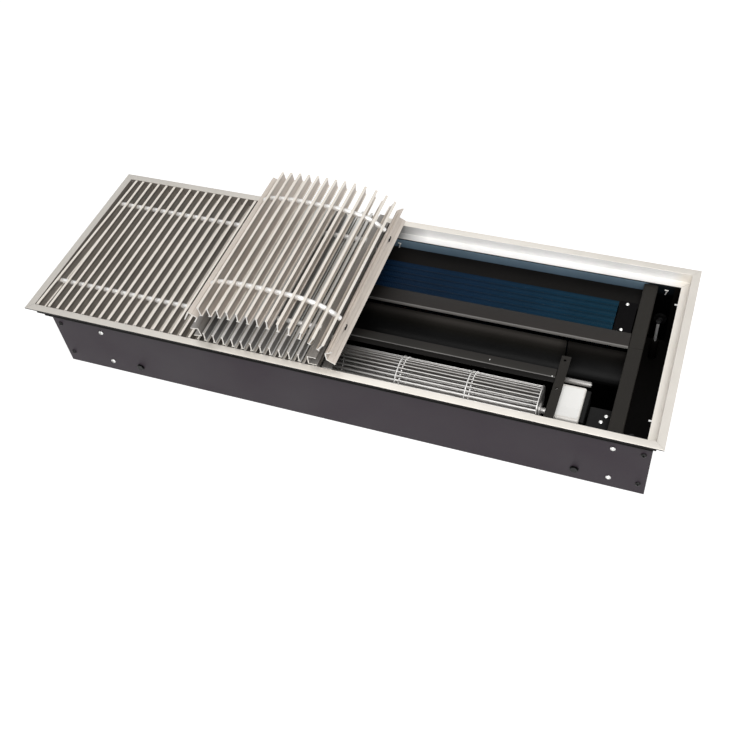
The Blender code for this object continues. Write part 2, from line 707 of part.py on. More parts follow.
def build_levelling(trough):
    """Screws that stand in tall nuts on the floor and push the casing up."""
    nut_top = FLOOR + LEVEL_NUT_HEIGHT
    nut = along_z(circle((0, 0), LEVEL_NUT_RADIUS, 6), FLOOR - SHEET / 2, nut_top)
    length = LEVEL_TOP + TOTAL_DEPTH - LEVEL_HEAD_HEIGHT - GAP
    screw = screw_solid(LEVEL_HEAD_RADIUS, LEVEL_HEAD_HEIGHT, LEVEL_RADIUS, length, LEVEL_SIDES)
    left = CASING_LEFT + LEVEL_X_INSET
    right = CASING_RIGHT - LEVEL_X_INSET
    front = INNER_FRONT + LEVEL_FRONT_INSET
    back = INNER_BACK - LEVEL_BACK_INSET
    places = {
        "levelling_screw_front_left": (left, front),
        "levelling_screw_front_right": (right, front),
        "levelling_screw_back_left": (left, back),
        "levelling_screw_back_right": (right, back),
    }
    nuts = []
    holes = []
    for name, (x, y) in places.items():
        under_head = (x, y, LEVEL_TOP - LEVEL_HEAD_HEIGHT)
        add_part(name, "bright_steel", [(screw, Matrix.Translation(under_head))], under_head)
        nuts.append((nut, Matrix.Translation((x, y, 0))))
        hole = circle((x, y), LEVEL_RADIUS + GAP, LEVEL_SIDES)
        holes.append(along_z(hole, BOTTOM - SHEET, nut_top + SHEET))
    fuse(trough, "levelling_nuts", nuts)
    cut([trough], "cut_levelling_holes", holes)


def tube_path():
    """The exchanger tube: in at the lower front, out at the lower back."""
    reach = (TUBE_UPPER_Z - TUBE_LOWER_Z) / 2
    across = (TUBE_BACK_Y - TUBE_FRONT_Y) / 2
    middle_z = (TUBE_UPPER_Z + TUBE_LOWER_Z) / 2
    middle_y = (TUBE_FRONT_Y + TUBE_BACK_Y) / 2
    right = FIN_RIGHT + SHEET + GAP
    left = FIN_LEFT - SHEET - GAP
    turns = [math.pi * index / TUBE_BEND_POINTS for index in range(TUBE_BEND_POINTS + 1)]
    points = [(TUBE_END_X, TUBE_FRONT_Y, TUBE_LOWER_Z)]
    for angle in turns:
        height = middle_z - reach * math.cos(angle)
        points.append((right + reach * math.sin(angle), TUBE_FRONT_Y, height))
    for angle in turns:
        depth = middle_y - across * math.cos(angle)
        points.append((left - across * math.sin(angle), depth, TUBE_UPPER_Z))
    for angle in turns:
        height = middle_z + reach * math.cos(angle)
        points.append((right + reach * math.sin(angle), TUBE_BACK_Y, height))
    points.append((TUBE_END_X, TUBE_BACK_Y, TUBE_LOWER_Z))
    return points


def build_exchanger():
    steps = 2 * FIN_WAVES
    width = FIN_BACK_Y - FIN_FRONT_Y
    top = []
    bottom = []
    for index in range(steps + 1):
        y = FIN_FRONT_Y + width * index / steps
        dip = FIN_WAVE_DEPTH * (index % 2)
        top.append((y, FIN_TOP - dip))
        bottom.append((y, FIN_BOTTOM + dip))
    rows = [(y, z) for y in (TUBE_FRONT_Y, TUBE_BACK_Y) for z in (TUBE_UPPER_Z, TUBE_LOWER_Z)]
    holes = [circle(place, TUBE_HOLE_RADIUS, 8) for place in rows]
    fins = along_x(top + bottom[::-1], FIN_LEFT, FIN_RIGHT, holes)
    add_part("exchanger_fins", "blue_fins", [fins])
    add_part("exchanger_tube", "copper", [swept(tube_path(), TUBE_RADIUS)])
    build_exchanger_brackets(rows)
    build_connections()


def build_exchanger_brackets(rows):
    path = [
        (BRACKET_REACH, FIN_TOP + SHEET),
        (0, FIN_TOP + SHEET),
        (0, FLOOR + GAP),
        (BRACKET_FOOT, FLOOR + GAP),
    ]
    bracket = along_y(sheet_outline(path), FIN_FRONT_Y, FIN_BACK_Y)
    right_place = Matrix.Translation((FIN_RIGHT + GAP, 0, 0))
    left_place = Matrix.Translation((FIN_LEFT - GAP, 0, 0)) @ MIRROR_X
    right = add_part("exchanger_bracket_right", "black_steel", [(bracket, right_place)])
    left = add_part("exchanger_bracket_left", "black_steel", [(bracket, left_place)])
    holes = [
        along_x(circle(place, TUBE_HOLE_RADIUS, 8), start, start + 4 * SHEET)
        for place in rows
        for start in (FIN_LEFT - 3 * SHEET, FIN_RIGHT - SHEET)
    ]
    cut([left, right], "cut_bracket_tubes", holes)
    screw = screw_solid(SMALL_HEAD_RADIUS, SCREW_HEAD_HEIGHT, SCREW_SHANK_RADIUS, SCREW_LENGTH)
    ys = (FIN_FRONT_Y + BRACKET_SCREW_FRONT, FIN_BACK_Y - BRACKET_SCREW_BACK)
    for bracket_part, x in (
        (left, FIN_LEFT - BRACKET_SCREW_OFFSET),
        (right, FIN_RIGHT + BRACKET_SCREW_OFFSET),
    ):
        under_head = FIN_TOP + SHEET - SHEET / 4
        screws = [(screw, Matrix.Translation((x, y, under_head))) for y in ys]
        fuse(bracket_part, f"screws_of_{bracket_part.name}", screws)


def build_connections():
    """Brass unions on both tube ends, and the air vent on the front one."""
    profile = (
        (0, 0),
        (UNION_RADIUS, 0),
        (UNION_RADIUS, -UNION_LENGTH),
        (UNION_BORE_RADIUS, -UNION_LENGTH),
        (UNION_BORE_RADIUS, -UNION_LENGTH + UNION_BORE_DEPTH),
        (0, -UNION_LENGTH + UNION_BORE_DEPTH),
    )
    union = turned(profile, UNION_SIDES)
    flat_up = Matrix.Rotation(math.pi / UNION_SIDES, 4, "Z")
    for name, y in (("supply_union", TUBE_FRONT_Y), ("return_union", TUBE_BACK_Y)):
        end = Matrix.Translation((TUBE_END_X - GAP, y, TUBE_LOWER_Z))
        add_part(name, "brass", [(union, end @ HEAD_TO_RIGHT @ flat_up)])
    flat = UNION_RADIUS * math.cos(math.pi / UNION_SIDES)
    seat = TUBE_LOWER_Z + flat + GAP
    vent_x = TUBE_END_X - UNION_LENGTH / 2
    outline = circle((vent_x, TUBE_FRONT_Y), VENT_RADIUS, 6)
    body = along_z(outline, seat, seat + VENT_HEIGHT)
    vent = add_part("air_vent_body", "brass", [body])
    bore = circle((vent_x, TUBE_FRONT_Y), VENT_SCREW_RADIUS + GAP, 8)
    bottom = seat + VENT_HEIGHT - VENT_SCREW_DEPTH - GAP
    cut([vent], "cut_vent_bore", [along_z(bore, bottom, seat + VENT_HEIGHT + SHEET)])
    under_head = (vent_x, TUBE_FRONT_Y, seat + VENT_HEIGHT + GAP)
    screw = screw_solid(VENT_HEAD_RADIUS, VENT_HEAD_HEIGHT, VENT_SCREW_RADIUS, VENT_SCREW_DEPTH, 8)
    screw_part = add_part(
        "air_vent_screw", "bright_steel", [(screw, Matrix.Translation(under_head))], under_head
    )
    half = VENT_HEAD_RADIUS + SHEET
    low = (vent_x - half, TUBE_FRONT_Y - VENT_SLOT_WIDTH / 2, under_head[2] + SHEET)
    top = under_head[2] + VENT_HEAD_HEIGHT + SHEET
    slot = block(low, (vent_x + half, TUBE_FRONT_Y + VENT_SLOT_WIDTH / 2, top))
    cut([screw_part], "cut_vent_slot", [slot])


def build_cover_strips():
    """Folded strips over the air space on both sides of the exchanger."""
    front = PARTITION_SEAM_Y
    back = FIN_FRONT_Y - 2 * GAP
    centre = sheet_outline(
        [
            (back, PARTITION_TOP - STRIP_LIP),
            (back, PARTITION_TOP),
            (front, PARTITION_TOP),
            (front, PARTITION_TOP - STRIP_LIP),
        ]
    )
    add_part("centre_cover_strip", "charcoal_steel", [along_x(centre, AIR_LEFT, AIR_RIGHT)])
    rear_front = FIN_BACK_Y + 2 * GAP
    rear = sheet_outline(
        [
            (INNER_BACK - GAP, REAR_STRIP_Z),
            (rear_front, REAR_STRIP_Z),
            (rear_front, REAR_STRIP_Z - STRIP_LIP),
        ]
    )
    add_part("rear_cover_strip", "black_steel", [along_x(rear, AIR_LEFT, AIR_RIGHT)])


def blade_outline():
    """One blade's section: a curved strip from the inner to the outer radius."""
    path = []
    for index in range(BLADE_STEPS + 1):
        part = index / BLADE_STEPS
        radius = BLADE_INNER_RADIUS + (BLADE_OUTER_RADIUS - BLADE_INNER_RADIUS) * part
        angle = BLADE_SWEEP * part * part
        path.append((radius * math.cos(angle), radius * math.sin(angle)))
    return sheet_outline(path, BLADE_THICKNESS)


def build_fan():
    axis_place = Matrix.Translation((0, FAN_Y, FAN_Z))
    centre = ((ROTOR_LEFT + ROTOR_RIGHT) / 2, FAN_Y, FAN_Z)
    start = ROTOR_LEFT + RING_WIDTH / 2
    end = ROTOR_RIGHT - RING_WIDTH / 2
    blade = along_x(blade_outline(), start, end)
    blades = []
    for index in range(BLADES):
        turn = Matrix.Rotation(math.tau * index / BLADES, 4, "X")
        blades.append((blade, axis_place @ turn))
    rotor = add_part("fan_rotor", "bright_steel", blades, centre)
    hoop = ring(RING_INNER_RADIUS, RING_OUTER_RADIUS, RING_WIDTH, RING_SIDES)
    for index in range(1, ROTOR_SECTIONS):
        x = ROTOR_LEFT + index * ROTOR_SECTION - RING_WIDTH / 2
        place = Matrix.Translation((x, FAN_Y, FAN_Z)) @ HEAD_TO_RIGHT
        add_part(f"fan_ring_{index}", "bright_steel", [(hoop, place)], centre)
    left_shaft = ROTOR_LEFT - LEFT_SUPPORT_X + BUSH_REACH
    right_shaft = RIGHT_SUPPORT_X + SHEET - ROTOR_RIGHT
    ends = []
    for x, facing, length in (
        (ROTOR_LEFT, HEAD_TO_LEFT, left_shaft),
        (ROTOR_RIGHT, HEAD_TO_RIGHT, right_shaft),
    ):
        profile = (
            (0, length),
            (SHAFT_RADIUS, length),
            (SHAFT_RADIUS, 0),
            (RING_INNER_RADIUS, 0),
            (RING_INNER_RADIUS, -RING_WIDTH),
            (0, -RING_WIDTH),
        )
        ends.append((turned(profile, RING_SIDES), Matrix.Translation((x, FAN_Y, FAN_Z)) @ facing))
    fuse(rotor, "rotor_end_discs", ends)
    build_fan_supports()
    build_fan_sheets()


def build_fan_supports():
    """Upright sheets at both ends of the rotor, each with a strap folded along its top."""
    path = [(STRAP_WIDTH, PARTITION_TOP), (0, PARTITION_TOP), (0, FLOOR + GAP)]
    solid = along_y(sheet_outline(path), SUPPORT_FRONT_Y, SUPPORT_FRONT_Y + SUPPORT_WIDTH)
    right_place = Matrix.Translation((RIGHT_SUPPORT_X, 0, 0))
    left_place = Matrix.Translation((LEFT_SUPPORT_X, 0, 0)) @ MIRROR_X
    right = add_part("motor_support", "charcoal_steel", [(solid, right_place)])
    left = add_part("bearing_support", "charcoal_steel", [(solid, left_place)])
    bore = along_x(circle((FAN_Y, FAN_Z), SHAFT_RADIUS + 2 * GAP, SHAFT_SIDES),
                   RIGHT_SUPPORT_X - SHEET, RIGHT_SUPPORT_X + 2 * SHEET)
    cut([right], "cut_shaft_bore", [bore])
    seat = along_x(circle((FAN_Y, FAN_Z), BUSH_RADIUS + GAP, SHAFT_SIDES),
                   LEFT_SUPPORT_X - 2 * SHEET, LEFT_SUPPORT_X + SHEET)
    cut([left], "cut_bush_seat", [seat])
    hole_x = RIGHT_SUPPORT_X + STRAP_HOLE_OFFSET
    strap_holes = [
        along_z(circle((hole_x, SUPPORT_FRONT_Y + inset), STRAP_HOLE_RADIUS, SCREW_SIDES),
                PARTITION_TOP - 2 * SHEET, PARTITION_TOP + SHEET)
        for inset in (STRAP_HOLE_FRONT, STRAP_HOLE_BACK)
    ]
    cut([right], "cut_strap_holes", strap_holes)
    bush = ring(SHAFT_BORE_RADIUS, BUSH_RADIUS, BUSH_REACH, SHAFT_SIDES)
    place = Matrix.Translation((LEFT_SUPPORT_X - BUSH_REACH + GAP, FAN_Y, FAN_Z)) @ HEAD_TO_RIGHT
    add_part("bearing_bush", "black_plastic", [(bush, place)])


def build_fan_sheets():
    """The scroll under the rotor, the lip and guide behind it, and the screen behind the motor."""
    start = LEFT_SUPPORT_X + GAP
    end = RIGHT_SUPPORT_X - GAP
    scroll = []
    for index in range(SCROLL_STEPS + 1):
        part = index / SCROLL_STEPS
        angle = SCROLL_START_ANGLE + (SCROLL_END_ANGLE - SCROLL_START_ANGLE) * part
        radius = SCROLL_NEAR_RADIUS + (SCROLL_FAR_RADIUS - SCROLL_NEAR_RADIUS) * part
        scroll.append((FAN_Y + radius * math.cos(angle), FAN_Z + radius * math.sin(angle)))
    scroll.append((FIN_FRONT_Y - SCROLL_END_GAP, BOTTOM + SCROLL_END_HEIGHT))
    add_part("fan_scroll", "black_steel", [along_x(sheet_outline(scroll), start, end)])
    lip = [(LIP_FRONT_Y, PARTITION_TOP - SHEET - LIP_HEM), (LIP_FRONT_Y, PARTITION_TOP)]
    guide = []
    for index in range(GUIDE_STEPS + 1):
        part = index / GUIDE_STEPS
        y = LIP_BACK_Y + (GUIDE_END_Y - LIP_BACK_Y) * part
        drop = max(math.sin(math.pi * part), 0) ** GUIDE_FULLNESS * (PARTITION_TOP - GUIDE_LOW_Z)
        z = PARTITION_TOP + (GUIDE_END_Z - PARTITION_TOP) * part - drop
        guide.append((y, z))
    outline = sheet_outline((lip + guide)[::-1])
    add_part("fan_lip_guide", "charcoal_steel", [along_x(outline, start, end)])
    screen = guide[SCREEN_FIRST_STEP:]
    outline = sheet_outline([*screen[::-1], (screen[0][0], FLOOR + GAP)])
    add_part("motor_bay_screen", "charcoal_steel", [along_x(outline, MOTOR_LEFT_X, AIR_RIGHT)])


def build_motor():
    low = (MOTOR_LEFT_X, MOTOR_FRONT_Y, MOTOR_BOTTOM)
    high = (MOTOR_RIGHT_X, MOTOR_BACK_Y, MOTOR_TOP)
    add_part("motor_body", "motor_white", [block(low, high, MOTOR_EDGE)])
    cap_left = MOTOR_RIGHT_X + GAP
    cap_low = (cap_left, MOTOR_FRONT_Y + CAP_INSET, MOTOR_BOTTOM + CAP_INSET)
    cap_high = (cap_left + CAP_LENGTH, MOTOR_BACK_Y - CAP_INSET, MOTOR_TOP - CAP_INSET)
    add_part("motor_end_cap", "black_plastic", [block(cap_low, cap_high, CAP_INSET / 2)])
    section = circle((MOTOR_BACK_Y + ROD_OFFSET, ROD_Z), ROD_RADIUS, ROD_SIDES)
    rod = along_x(section, MOTOR_LEFT_X, RIGHT_SUPPORT_X + ROD_REACH)
    add_part("motor_capacitor", "bright_steel", [rod])
    build_terminal_box()
    build_gland()


def build_terminal_box():
    left = RIGHT_WEB_X - TERMINAL_LENGTH
    front = INNER_FRONT + GAP
    back = INNER_FRONT + TERMINAL_WIDTH
    box_top = TERMINAL_TOP - TERMINAL_LID
    body = block((left, front, TERMINAL_BOTTOM), (AIR_RIGHT, back, box_top))
    lid = block((left, front, box_top + GAP), (AIR_RIGHT, back, TERMINAL_TOP))
    add_part("terminal_box", "black_plastic", [body])
    lid_part = add_part("terminal_box_lid", "black_plastic", [lid])
    screw = screw_solid(SMALL_HEAD_RADIUS, SCREW_HEAD_HEIGHT, SCREW_SHANK_RADIUS, TERMINAL_LID / 2)
    screws = []
    for inset, depth in (LID_FRONT_SCREW, LID_BACK_SCREW):
        under_head = (RIGHT_WEB_X - inset, INNER_FRONT + depth, TERMINAL_TOP - TERMINAL_LID / 4)
        screws.append((screw, Matrix.Translation(under_head)))
    fuse(lid_part, "lid_screws", screws)


def build_gland():
    """The cable gland through the back wall: a collar outside and its nut inside."""
    inner = -SHEET - 2 * GAP
    profile = (
        (GLAND_BORE_RADIUS, GLAND_REACH),
        (GLAND_NECK_RADIUS, GLAND_REACH),
        (GLAND_RADIUS, GLAND_REACH - SHEET),
        (GLAND_RADIUS, GAP),
        (GLAND_NECK_RADIUS, GAP),
        (GLAND_NECK_RADIUS, inner),
        (GLAND_RADIUS, inner),
        (GLAND_RADIUS, inner - GLAND_NUT),
        (GLAND_BORE_RADIUS, inner - GLAND_NUT),
    )
    place = Matrix.Translation((GLAND_X, CASING_BACK, GLAND_Z)) @ HEAD_TO_BACK
    gland = turned(profile, GLAND_SIDES, looped=True)
    add_part("cable_gland", "black_plastic", [(gland, place)])


def slat_outline():
    """The slat's I section about its middle, as (x, z)."""
    half = SLAT_WIDTH / 2
    web = SLAT_WEB / 2
    top = SLAT_HEIGHT / 2
    under = top - SLAT_FLANGE
    root = under - SLAT_TAPER
    right = [(half, top), (half, under), (web, root), (web, -root), (half, -under), (half, -top)]
    return right + [(-x, -z) for x, z in right]


def profile_outline(top_flange, bottom_flange):
    """The end profile's channel, as (x, z) from its web's top: it opens to the left."""
    return sheet_outline(
        [(-bottom_flange, -SLAT_HEIGHT), (0, -SLAT_HEIGHT), (0, 0), (-top_flange, 0)],
        PROFILE_SHEET,
    )


def tilted(x, z, angle=0.0):
    """A place in the side view, turned about y so that a positive angle leans right."""
    return Matrix.Translation((x, 0, z)) @ Matrix.Rotation(angle, 4, "Y")


def build_section(name, places, paths):
    """Slats at these places, joined by two sleeved springs that follow the two paths."""
    slat = along_y(slat_outline(), SLAT_FRONT_Y, SLAT_FRONT_Y + SLAT_LENGTH)
    section = add_part(name, "slat_aluminium", [(slat, place) for place in places])
    springs = []
    for y, path in zip(SPRING_YS, paths):
        springs.append(swept([(x, y, z) for x, z in path], SLEEVE_RADIUS, 1))
    fuse(section, f"springs_of_{name}", springs)


def build_profile(name, outline, place, hooks):
    """An end profile, with a wire hook at each spring: hooks are (foot, tip) in the side view."""
    channel = along_y(outline, SLAT_FRONT_Y, SLAT_FRONT_Y + SLAT_LENGTH)
    profile = add_part(name, "slat_aluminium", [(channel, place)])
    wires = []
    for foot, tip in hooks:
        for y in SPRING_YS:
            near = y - HOOK_WIDTH / 2
            far = y + HOOK_WIDTH / 2
            loop = [
                (foot[0], near, foot[1]),
                (tip[0], near, tip[1]),
                (tip[0], far, tip[1]),
                (foot[0], far, foot[1]),
            ]
            wires.append(swept(loop, HOOK_WIRE, 0))
    if wires:
        fuse(profile, f"hooks_of_{name}", wires)


def build_lying_section():
    middle = -SLAT_HEIGHT / 2
    half_way = FRAME_WIDTH / 2
    askew = (
        Matrix.Translation((LYING_END_X, half_way, middle))
        @ Matrix.Rotation(-LYING_END_TURN, 4, "Z")
        @ Matrix.Translation((0, -half_way, 0))
    )
    xs = [LYING_FIRST_X + LYING_PITCH * index for index in range(LYING_SLATS)]
    places = [askew] + [tilted(x, middle) for x in xs]
    right_end = (LYING_RIGHT_WEB_X - GAP, middle)
    paths = []
    for y in SPRING_YS:
        end_slat = LYING_END_X + (y - half_way) * math.tan(LYING_END_TURN)
        paths.append([(end_slat - SLAT_WEB / 2 - SLEEVE_REACH, middle), right_end])
    build_section("grille_lying", places, paths)
    outline = profile_outline(PROFILE_FLANGE, PROFILE_FLANGE)
    right = tilted(LYING_RIGHT_WEB_X, 0) @ MIRROR_X
    seat = ARCH_RIGHT_SEAT[1] - GAP - HOOK_WIRE
    hook = ((ARCH_RIGHT_SEAT[0], -PROFILE_SHEET / 2), (ARCH_RIGHT_SEAT[0], seat))
    build_profile("grille_lying_profile_right", outline, right, [hook])


def build_upper_section():
    middle = SLAT_HEIGHT / 2 + GAP
    xs = [UPPER_FIRST_X + UPPER_PITCH * index for index in range(UPPER_SLATS)]
    path = [(xs[0] - SLAT_WIDTH / 2, middle), (UPPER_RIGHT_WEB_X - GAP, middle)]
    build_section("grille_upper", [tilted(x, middle) for x in xs], [path, path])
    outline = profile_outline(PROFILE_FLANGE, PROFILE_FLANGE)
    left = tilted(*UPPER_LEFT_TOP, -UPPER_LEFT_TILT)
    seat = ARCH_LEFT_SEAT[1] - GAP - HOOK_WIRE
    foot = UPPER_LEFT_TOP[1] - PROFILE_SHEET / 2
    hook = ((ARCH_LEFT_SEAT[0], foot), (ARCH_LEFT_SEAT[0], seat))
    build_profile("grille_upper_profile_left", outline, left, [hook])
    right = tilted(UPPER_RIGHT_WEB_X, SLAT_HEIGHT + GAP) @ MIRROR_X
    hook = ((UPPER_RIGHT_WEB_X + PROFILE_SHEET / 2, middle),
            (UPPER_RIGHT_WEB_X + PROFILE_FLANGE / 2, middle))
    build_profile("grille_upper_profile_right", outline, right, [hook])


def build_arched_section():
    angles = []
    for index in range(len(ARCH_MIDDLES)):
        before = ARCH_MIDDLES[max(index - 1, 0)]
        after = ARCH_MIDDLES[min(index + 1, len(ARCH_MIDDLES) - 1)]
        angles.append(-math.atan2(after[1] - before[1], after[0] - before[0]))
    places = [tilted(x, z, angle) for (x, z), angle in zip(ARCH_MIDDLES, angles)]
    path = [ARCH_LEFT_END, *ARCH_MIDDLES, ARCH_RIGHT_END]
    build_section("grille_arched", places, [path, path])
    left = tilted(*ARCH_LEFT_TOP, -ARCH_LEFT_TILT)
    outline = profile_outline(ARCH_LONG_FLANGE, PROFILE_FLANGE)
    build_profile("grille_arched_profile_left", outline, left, [])
    right = tilted(*ARCH_RIGHT_TOP, ARCH_RIGHT_TILT) @ MIRROR_X
    build_profile("grille_arched_profile_right", profile_outline(ARCH_HANGING_FLANGE, PROFILE_FLANGE),
                  right, [])


for leftover in list(bpy.data.objects):
    bpy.data.objects.remove(leftover)
parts = new_collection("floor_fan_convector")
cutters = new_collection("cutters")
cutters.hide_render = True
materials = {name: new_material(name, *look) for name, look in MATERIALS.items()}

build_frame()
casing = build_casing()
build_wall_screws(casing, build_partitions())
build_levelling(casing)
build_exchanger()
build_cover_strips()
build_fan()
build_motor()
build_lying_section()
build_upper_section()
build_arched_section()
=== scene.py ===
"""The looks of the floor fan convector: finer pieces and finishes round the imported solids.

Pieces are laid out as the solids are, in millimetres from the trim frame's outer front
left corner: x to the right, y to the back and z up, with 0 at the frame's top. dress()
takes them to the row frame.
"""

import math

import bmesh
import bpy
from mathutils import Matrix, Vector


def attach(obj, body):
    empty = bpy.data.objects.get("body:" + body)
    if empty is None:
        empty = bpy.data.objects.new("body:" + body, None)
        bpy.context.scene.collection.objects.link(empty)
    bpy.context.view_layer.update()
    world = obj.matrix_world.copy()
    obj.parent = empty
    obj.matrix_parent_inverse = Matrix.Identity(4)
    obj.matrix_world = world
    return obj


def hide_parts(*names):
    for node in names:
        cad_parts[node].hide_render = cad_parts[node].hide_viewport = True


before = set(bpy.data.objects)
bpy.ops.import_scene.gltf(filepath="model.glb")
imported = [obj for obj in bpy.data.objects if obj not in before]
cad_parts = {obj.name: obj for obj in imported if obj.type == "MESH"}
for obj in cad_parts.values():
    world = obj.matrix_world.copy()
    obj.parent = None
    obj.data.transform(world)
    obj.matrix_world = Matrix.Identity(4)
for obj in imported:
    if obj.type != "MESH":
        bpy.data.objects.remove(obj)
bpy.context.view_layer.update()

TO_ROW = Matrix.Translation((-0.416, -0.1435, 0.12)) @ Matrix.Scale(0.001, 4)
MIRROR = Matrix.Diagonal((-1, 1, 1, 1))
TO_BACK = Matrix.Rotation(math.radians(-90), 4, "X")
TO_RIGHT = Matrix.Rotation(math.radians(90), 4, "Y")
TO_LEFT = Matrix.Rotation(math.radians(-90), 4, "Y")

# Photograph's camera
CAMERA_PLACE = (0.40267, -0.80660, 1.01228)
CAMERA_RIGHT = (0.93468, 0.34252, -0.09510)
CAMERA_UP = (-0.20341, 0.73473, 0.64714)
CAMERA_BACK = (0.29153, -0.58553, 0.75641)
CAMERA_LENS = 48.25

# Main sizes, as in the solids
FRAME_LENGTH, FRAME_WIDTH = 832, 287
SHEET, BEND, GAP, EDGE = 1.2, 1.6, 0.3, 0.15
CASING_LEFT, CASING_RIGHT = 20.5, 820.5
CASING_FRONT, CASING_BACK = 18.5, 268.5
CASING_TOP, RIM, FOOT, FLOOR = -17.5, -19, -118.5, -118.8
LEFT_WEB, RIGHT_WEB, SEAM_Y = 104, 767, 155
SCREW_ZS = (-42, -100)
LEVEL_XS, LEVEL_YS = (47.5, 793.5), (47, 235)
FIN_LEFT, FIN_RIGHT = 127.8, 743.2
FIN_FRONT, FIN_BACK = 179, 231
FIN_TOP, FIN_BOTTOM, FIN_PITCH = -22, -97, 2.3
TUBE_YS, TUBE_ZS, TUBE_HOLE = (192, 218), (-44, -68), 6.9
BRACKET_TOP = -20.8
VENT_PLACE = (50, 192)
FAN_MIDDLE = FAN_Y, FAN_Z = 59, -54
ROTOR_LEFT, ROTOR_SECTION, BLADES = 153, 88.3, 34
ROTOR_LENGTH = 6 * ROTOR_SECTION
LEFT_SUPPORT, RIGHT_SUPPORT, MOTOR_LEFT = 147.5, 693.8, 695.3
GUIDE_FRONT, GUIDE_DEPTH, GUIDE_STEPS = 98, 54, 28
GLAND_PLACE = (794, -75)
SLAT_FRONT, SLAT_LENGTH, SLAT_HEIGHT, NECK = 11, 265, 14, 2
PROFILE_WALL = 1.5
SPRING_YS = (65, 229)
ARCH_MIDDLES = (
    (271.0, 54.3), (283.8, 56.1), (296.8, 57.1), (309.8, 57.5), (322.8, 57.4), (335.8, 57.0),
    (348.8, 56.4), (361.8, 56.0), (375.6, 55.0), (389.8, 52.6), (404.0, 49.2), (416.8, 43.6),
    (427.6, 35.6),
)


# Nodes


def fill(tree, node, inputs):
    """Sets the node's inputs to values, or links them to other nodes' outputs."""
    for name, value in inputs.items():
        if isinstance(value, bpy.types.NodeSocket):
            tree.links.new(value, node.inputs[name])
        else:
            node.inputs[name].default_value = value
    return node


def add(tree, kind, inputs=None, **settings):
    """A new node with its settings and its inputs."""
    node = tree.nodes.new(kind)
    for name, value in settings.items():
        setattr(node, name, value)
    return fill(tree, node, inputs or {})


# Finishes

EVEN = (1, 1, 1)
DRAWN_RIGHT = (0.05, 1, 1)
DRAWN_BACK = (1, 0.04, 1)


def rgba(tone):
    """A colour, or a level of grey, with full alpha."""
    return (*tone, 1) if isinstance(tone, tuple) else (tone, tone, tone, 1)


def noise(tree, place, scale, stretch=EVEN, detail=3.0):
    """Noise on the piece's coordinates, in features per metre."""
    mapping = add(tree, "ShaderNodeMapping", {"Vector": place, "Scale": stretch})
    inputs = {"Vector": mapping.outputs["Vector"], "Scale": scale, "Detail": detail}
    return add(tree, "ShaderNodeTexNoise", inputs).outputs["Fac"]


def ramp(tree, value, stops):
    """Tones by the value, each at its place from 0 to 1."""
    node = add(tree, "ShaderNodeValToRGB", {"Fac": value})
    elements = node.color_ramp.elements
    while len(elements) < len(stops):
        elements.new(0.5)
    for element, (where, tone) in zip(elements, stops):
        element.position = where
        element.color = rgba(tone)
    return node.outputs["Color"]


def along(tree, place, axis, tones):
    """Tones that run along one axis, each at its place in layout millimetres."""
    low, high = min(tones), max(tones)
    start, end = ((TO_ROW @ Vector((edge, edge, edge)))["XYZ".index(axis)] for edge in (low, high))
    value = add(tree, "ShaderNodeSeparateXYZ", {"Vector": place}).outputs[axis]
    ranged = add(tree, "ShaderNodeMapRange", {"Value": value, "From Min": start, "From Max": end})
    stops = [((where - low) / (high - low), tone) for where, tone in tones.items()]
    return ramp(tree, ranged.outputs["Result"], stops)


def finish(name, first, second, rough, cloud, fine, relief, shades, sockets, drawn=False):
    """Two tones in a cloudy noise, shaded along axes, over a relief of fine noise."""
    material = bpy.data.materials.new(name)
    material.use_nodes = True
    tree = material.node_tree
    place = add(tree, "ShaderNodeTexCoord").outputs["Object"]
    cloudy, grain = noise(tree, place, *cloud), noise(tree, place, *fine)
    colour = ramp(tree, cloudy, [(0.3, first), (0.7, second)])
    for axis, tones in shades.items():
        factors = {"Factor": 1.0, "A": colour, "B": along(tree, place, axis, tones)}
        product = add(tree, "ShaderNodeMix", factors, data_type="RGBA", blend_type="MULTIPLY")
        colour = product.outputs["Result"]
    spread = add(tree, "ShaderNodeMapRange", {
        "Value": grain if drawn else cloudy, "From Min": 0.3, "From Max": 0.7,
        "To Min": rough[0], "To Max": rough[1],
    })
    bump = add(tree, "ShaderNodeBump", {"Height": grain, "Strength": relief, "Distance": 0.0001})
    fill(tree, tree.nodes["Principled BSDF"], {
        "Base Color": colour, "Roughness": spread.outputs["Result"],
        "Normal": bump.outputs["Normal"], **sockets,
    })
    return material


def anodised(name, first, second, grain, rough, metallic=0.85, **shades):
    """Satin anodised aluminium, drawn along the direction with the small stretch."""
    return finish(name, first, second, rough, (22,), (900, grain), 0.12, shades,
                  {"Metallic": metallic}, drawn=True)


def powder_coat(name, first, second, rough, gloss, **shades):
    """Fine matt powder coat: a pebbled skin with faint cloudy patches."""
    return finish(name, first, second, rough, (14, EVEN, 4.0), (1400, EVEN, 2.0), 0.25, shades,
                  {"Specular IOR Level": gloss})


def bare_metal(name, first, second, rough, scale, **shades):
    """Bare or plated metal with a cloudy grain."""
    return finish(name, first, second, rough, (scale,), (8 * scale,), 0.1, shades,
                  {"Metallic": 1.0})


def moulded(name, first, second, rough, coat, gloss=0.5):
    """Moulded plastic with a faint texture."""
    return finish(name, first, second, rough, (60,), (1800,), 0.12, {},
                  {"Specular IOR Level": gloss, "Coat Weight": coat, "Coat Roughness": 0.15})


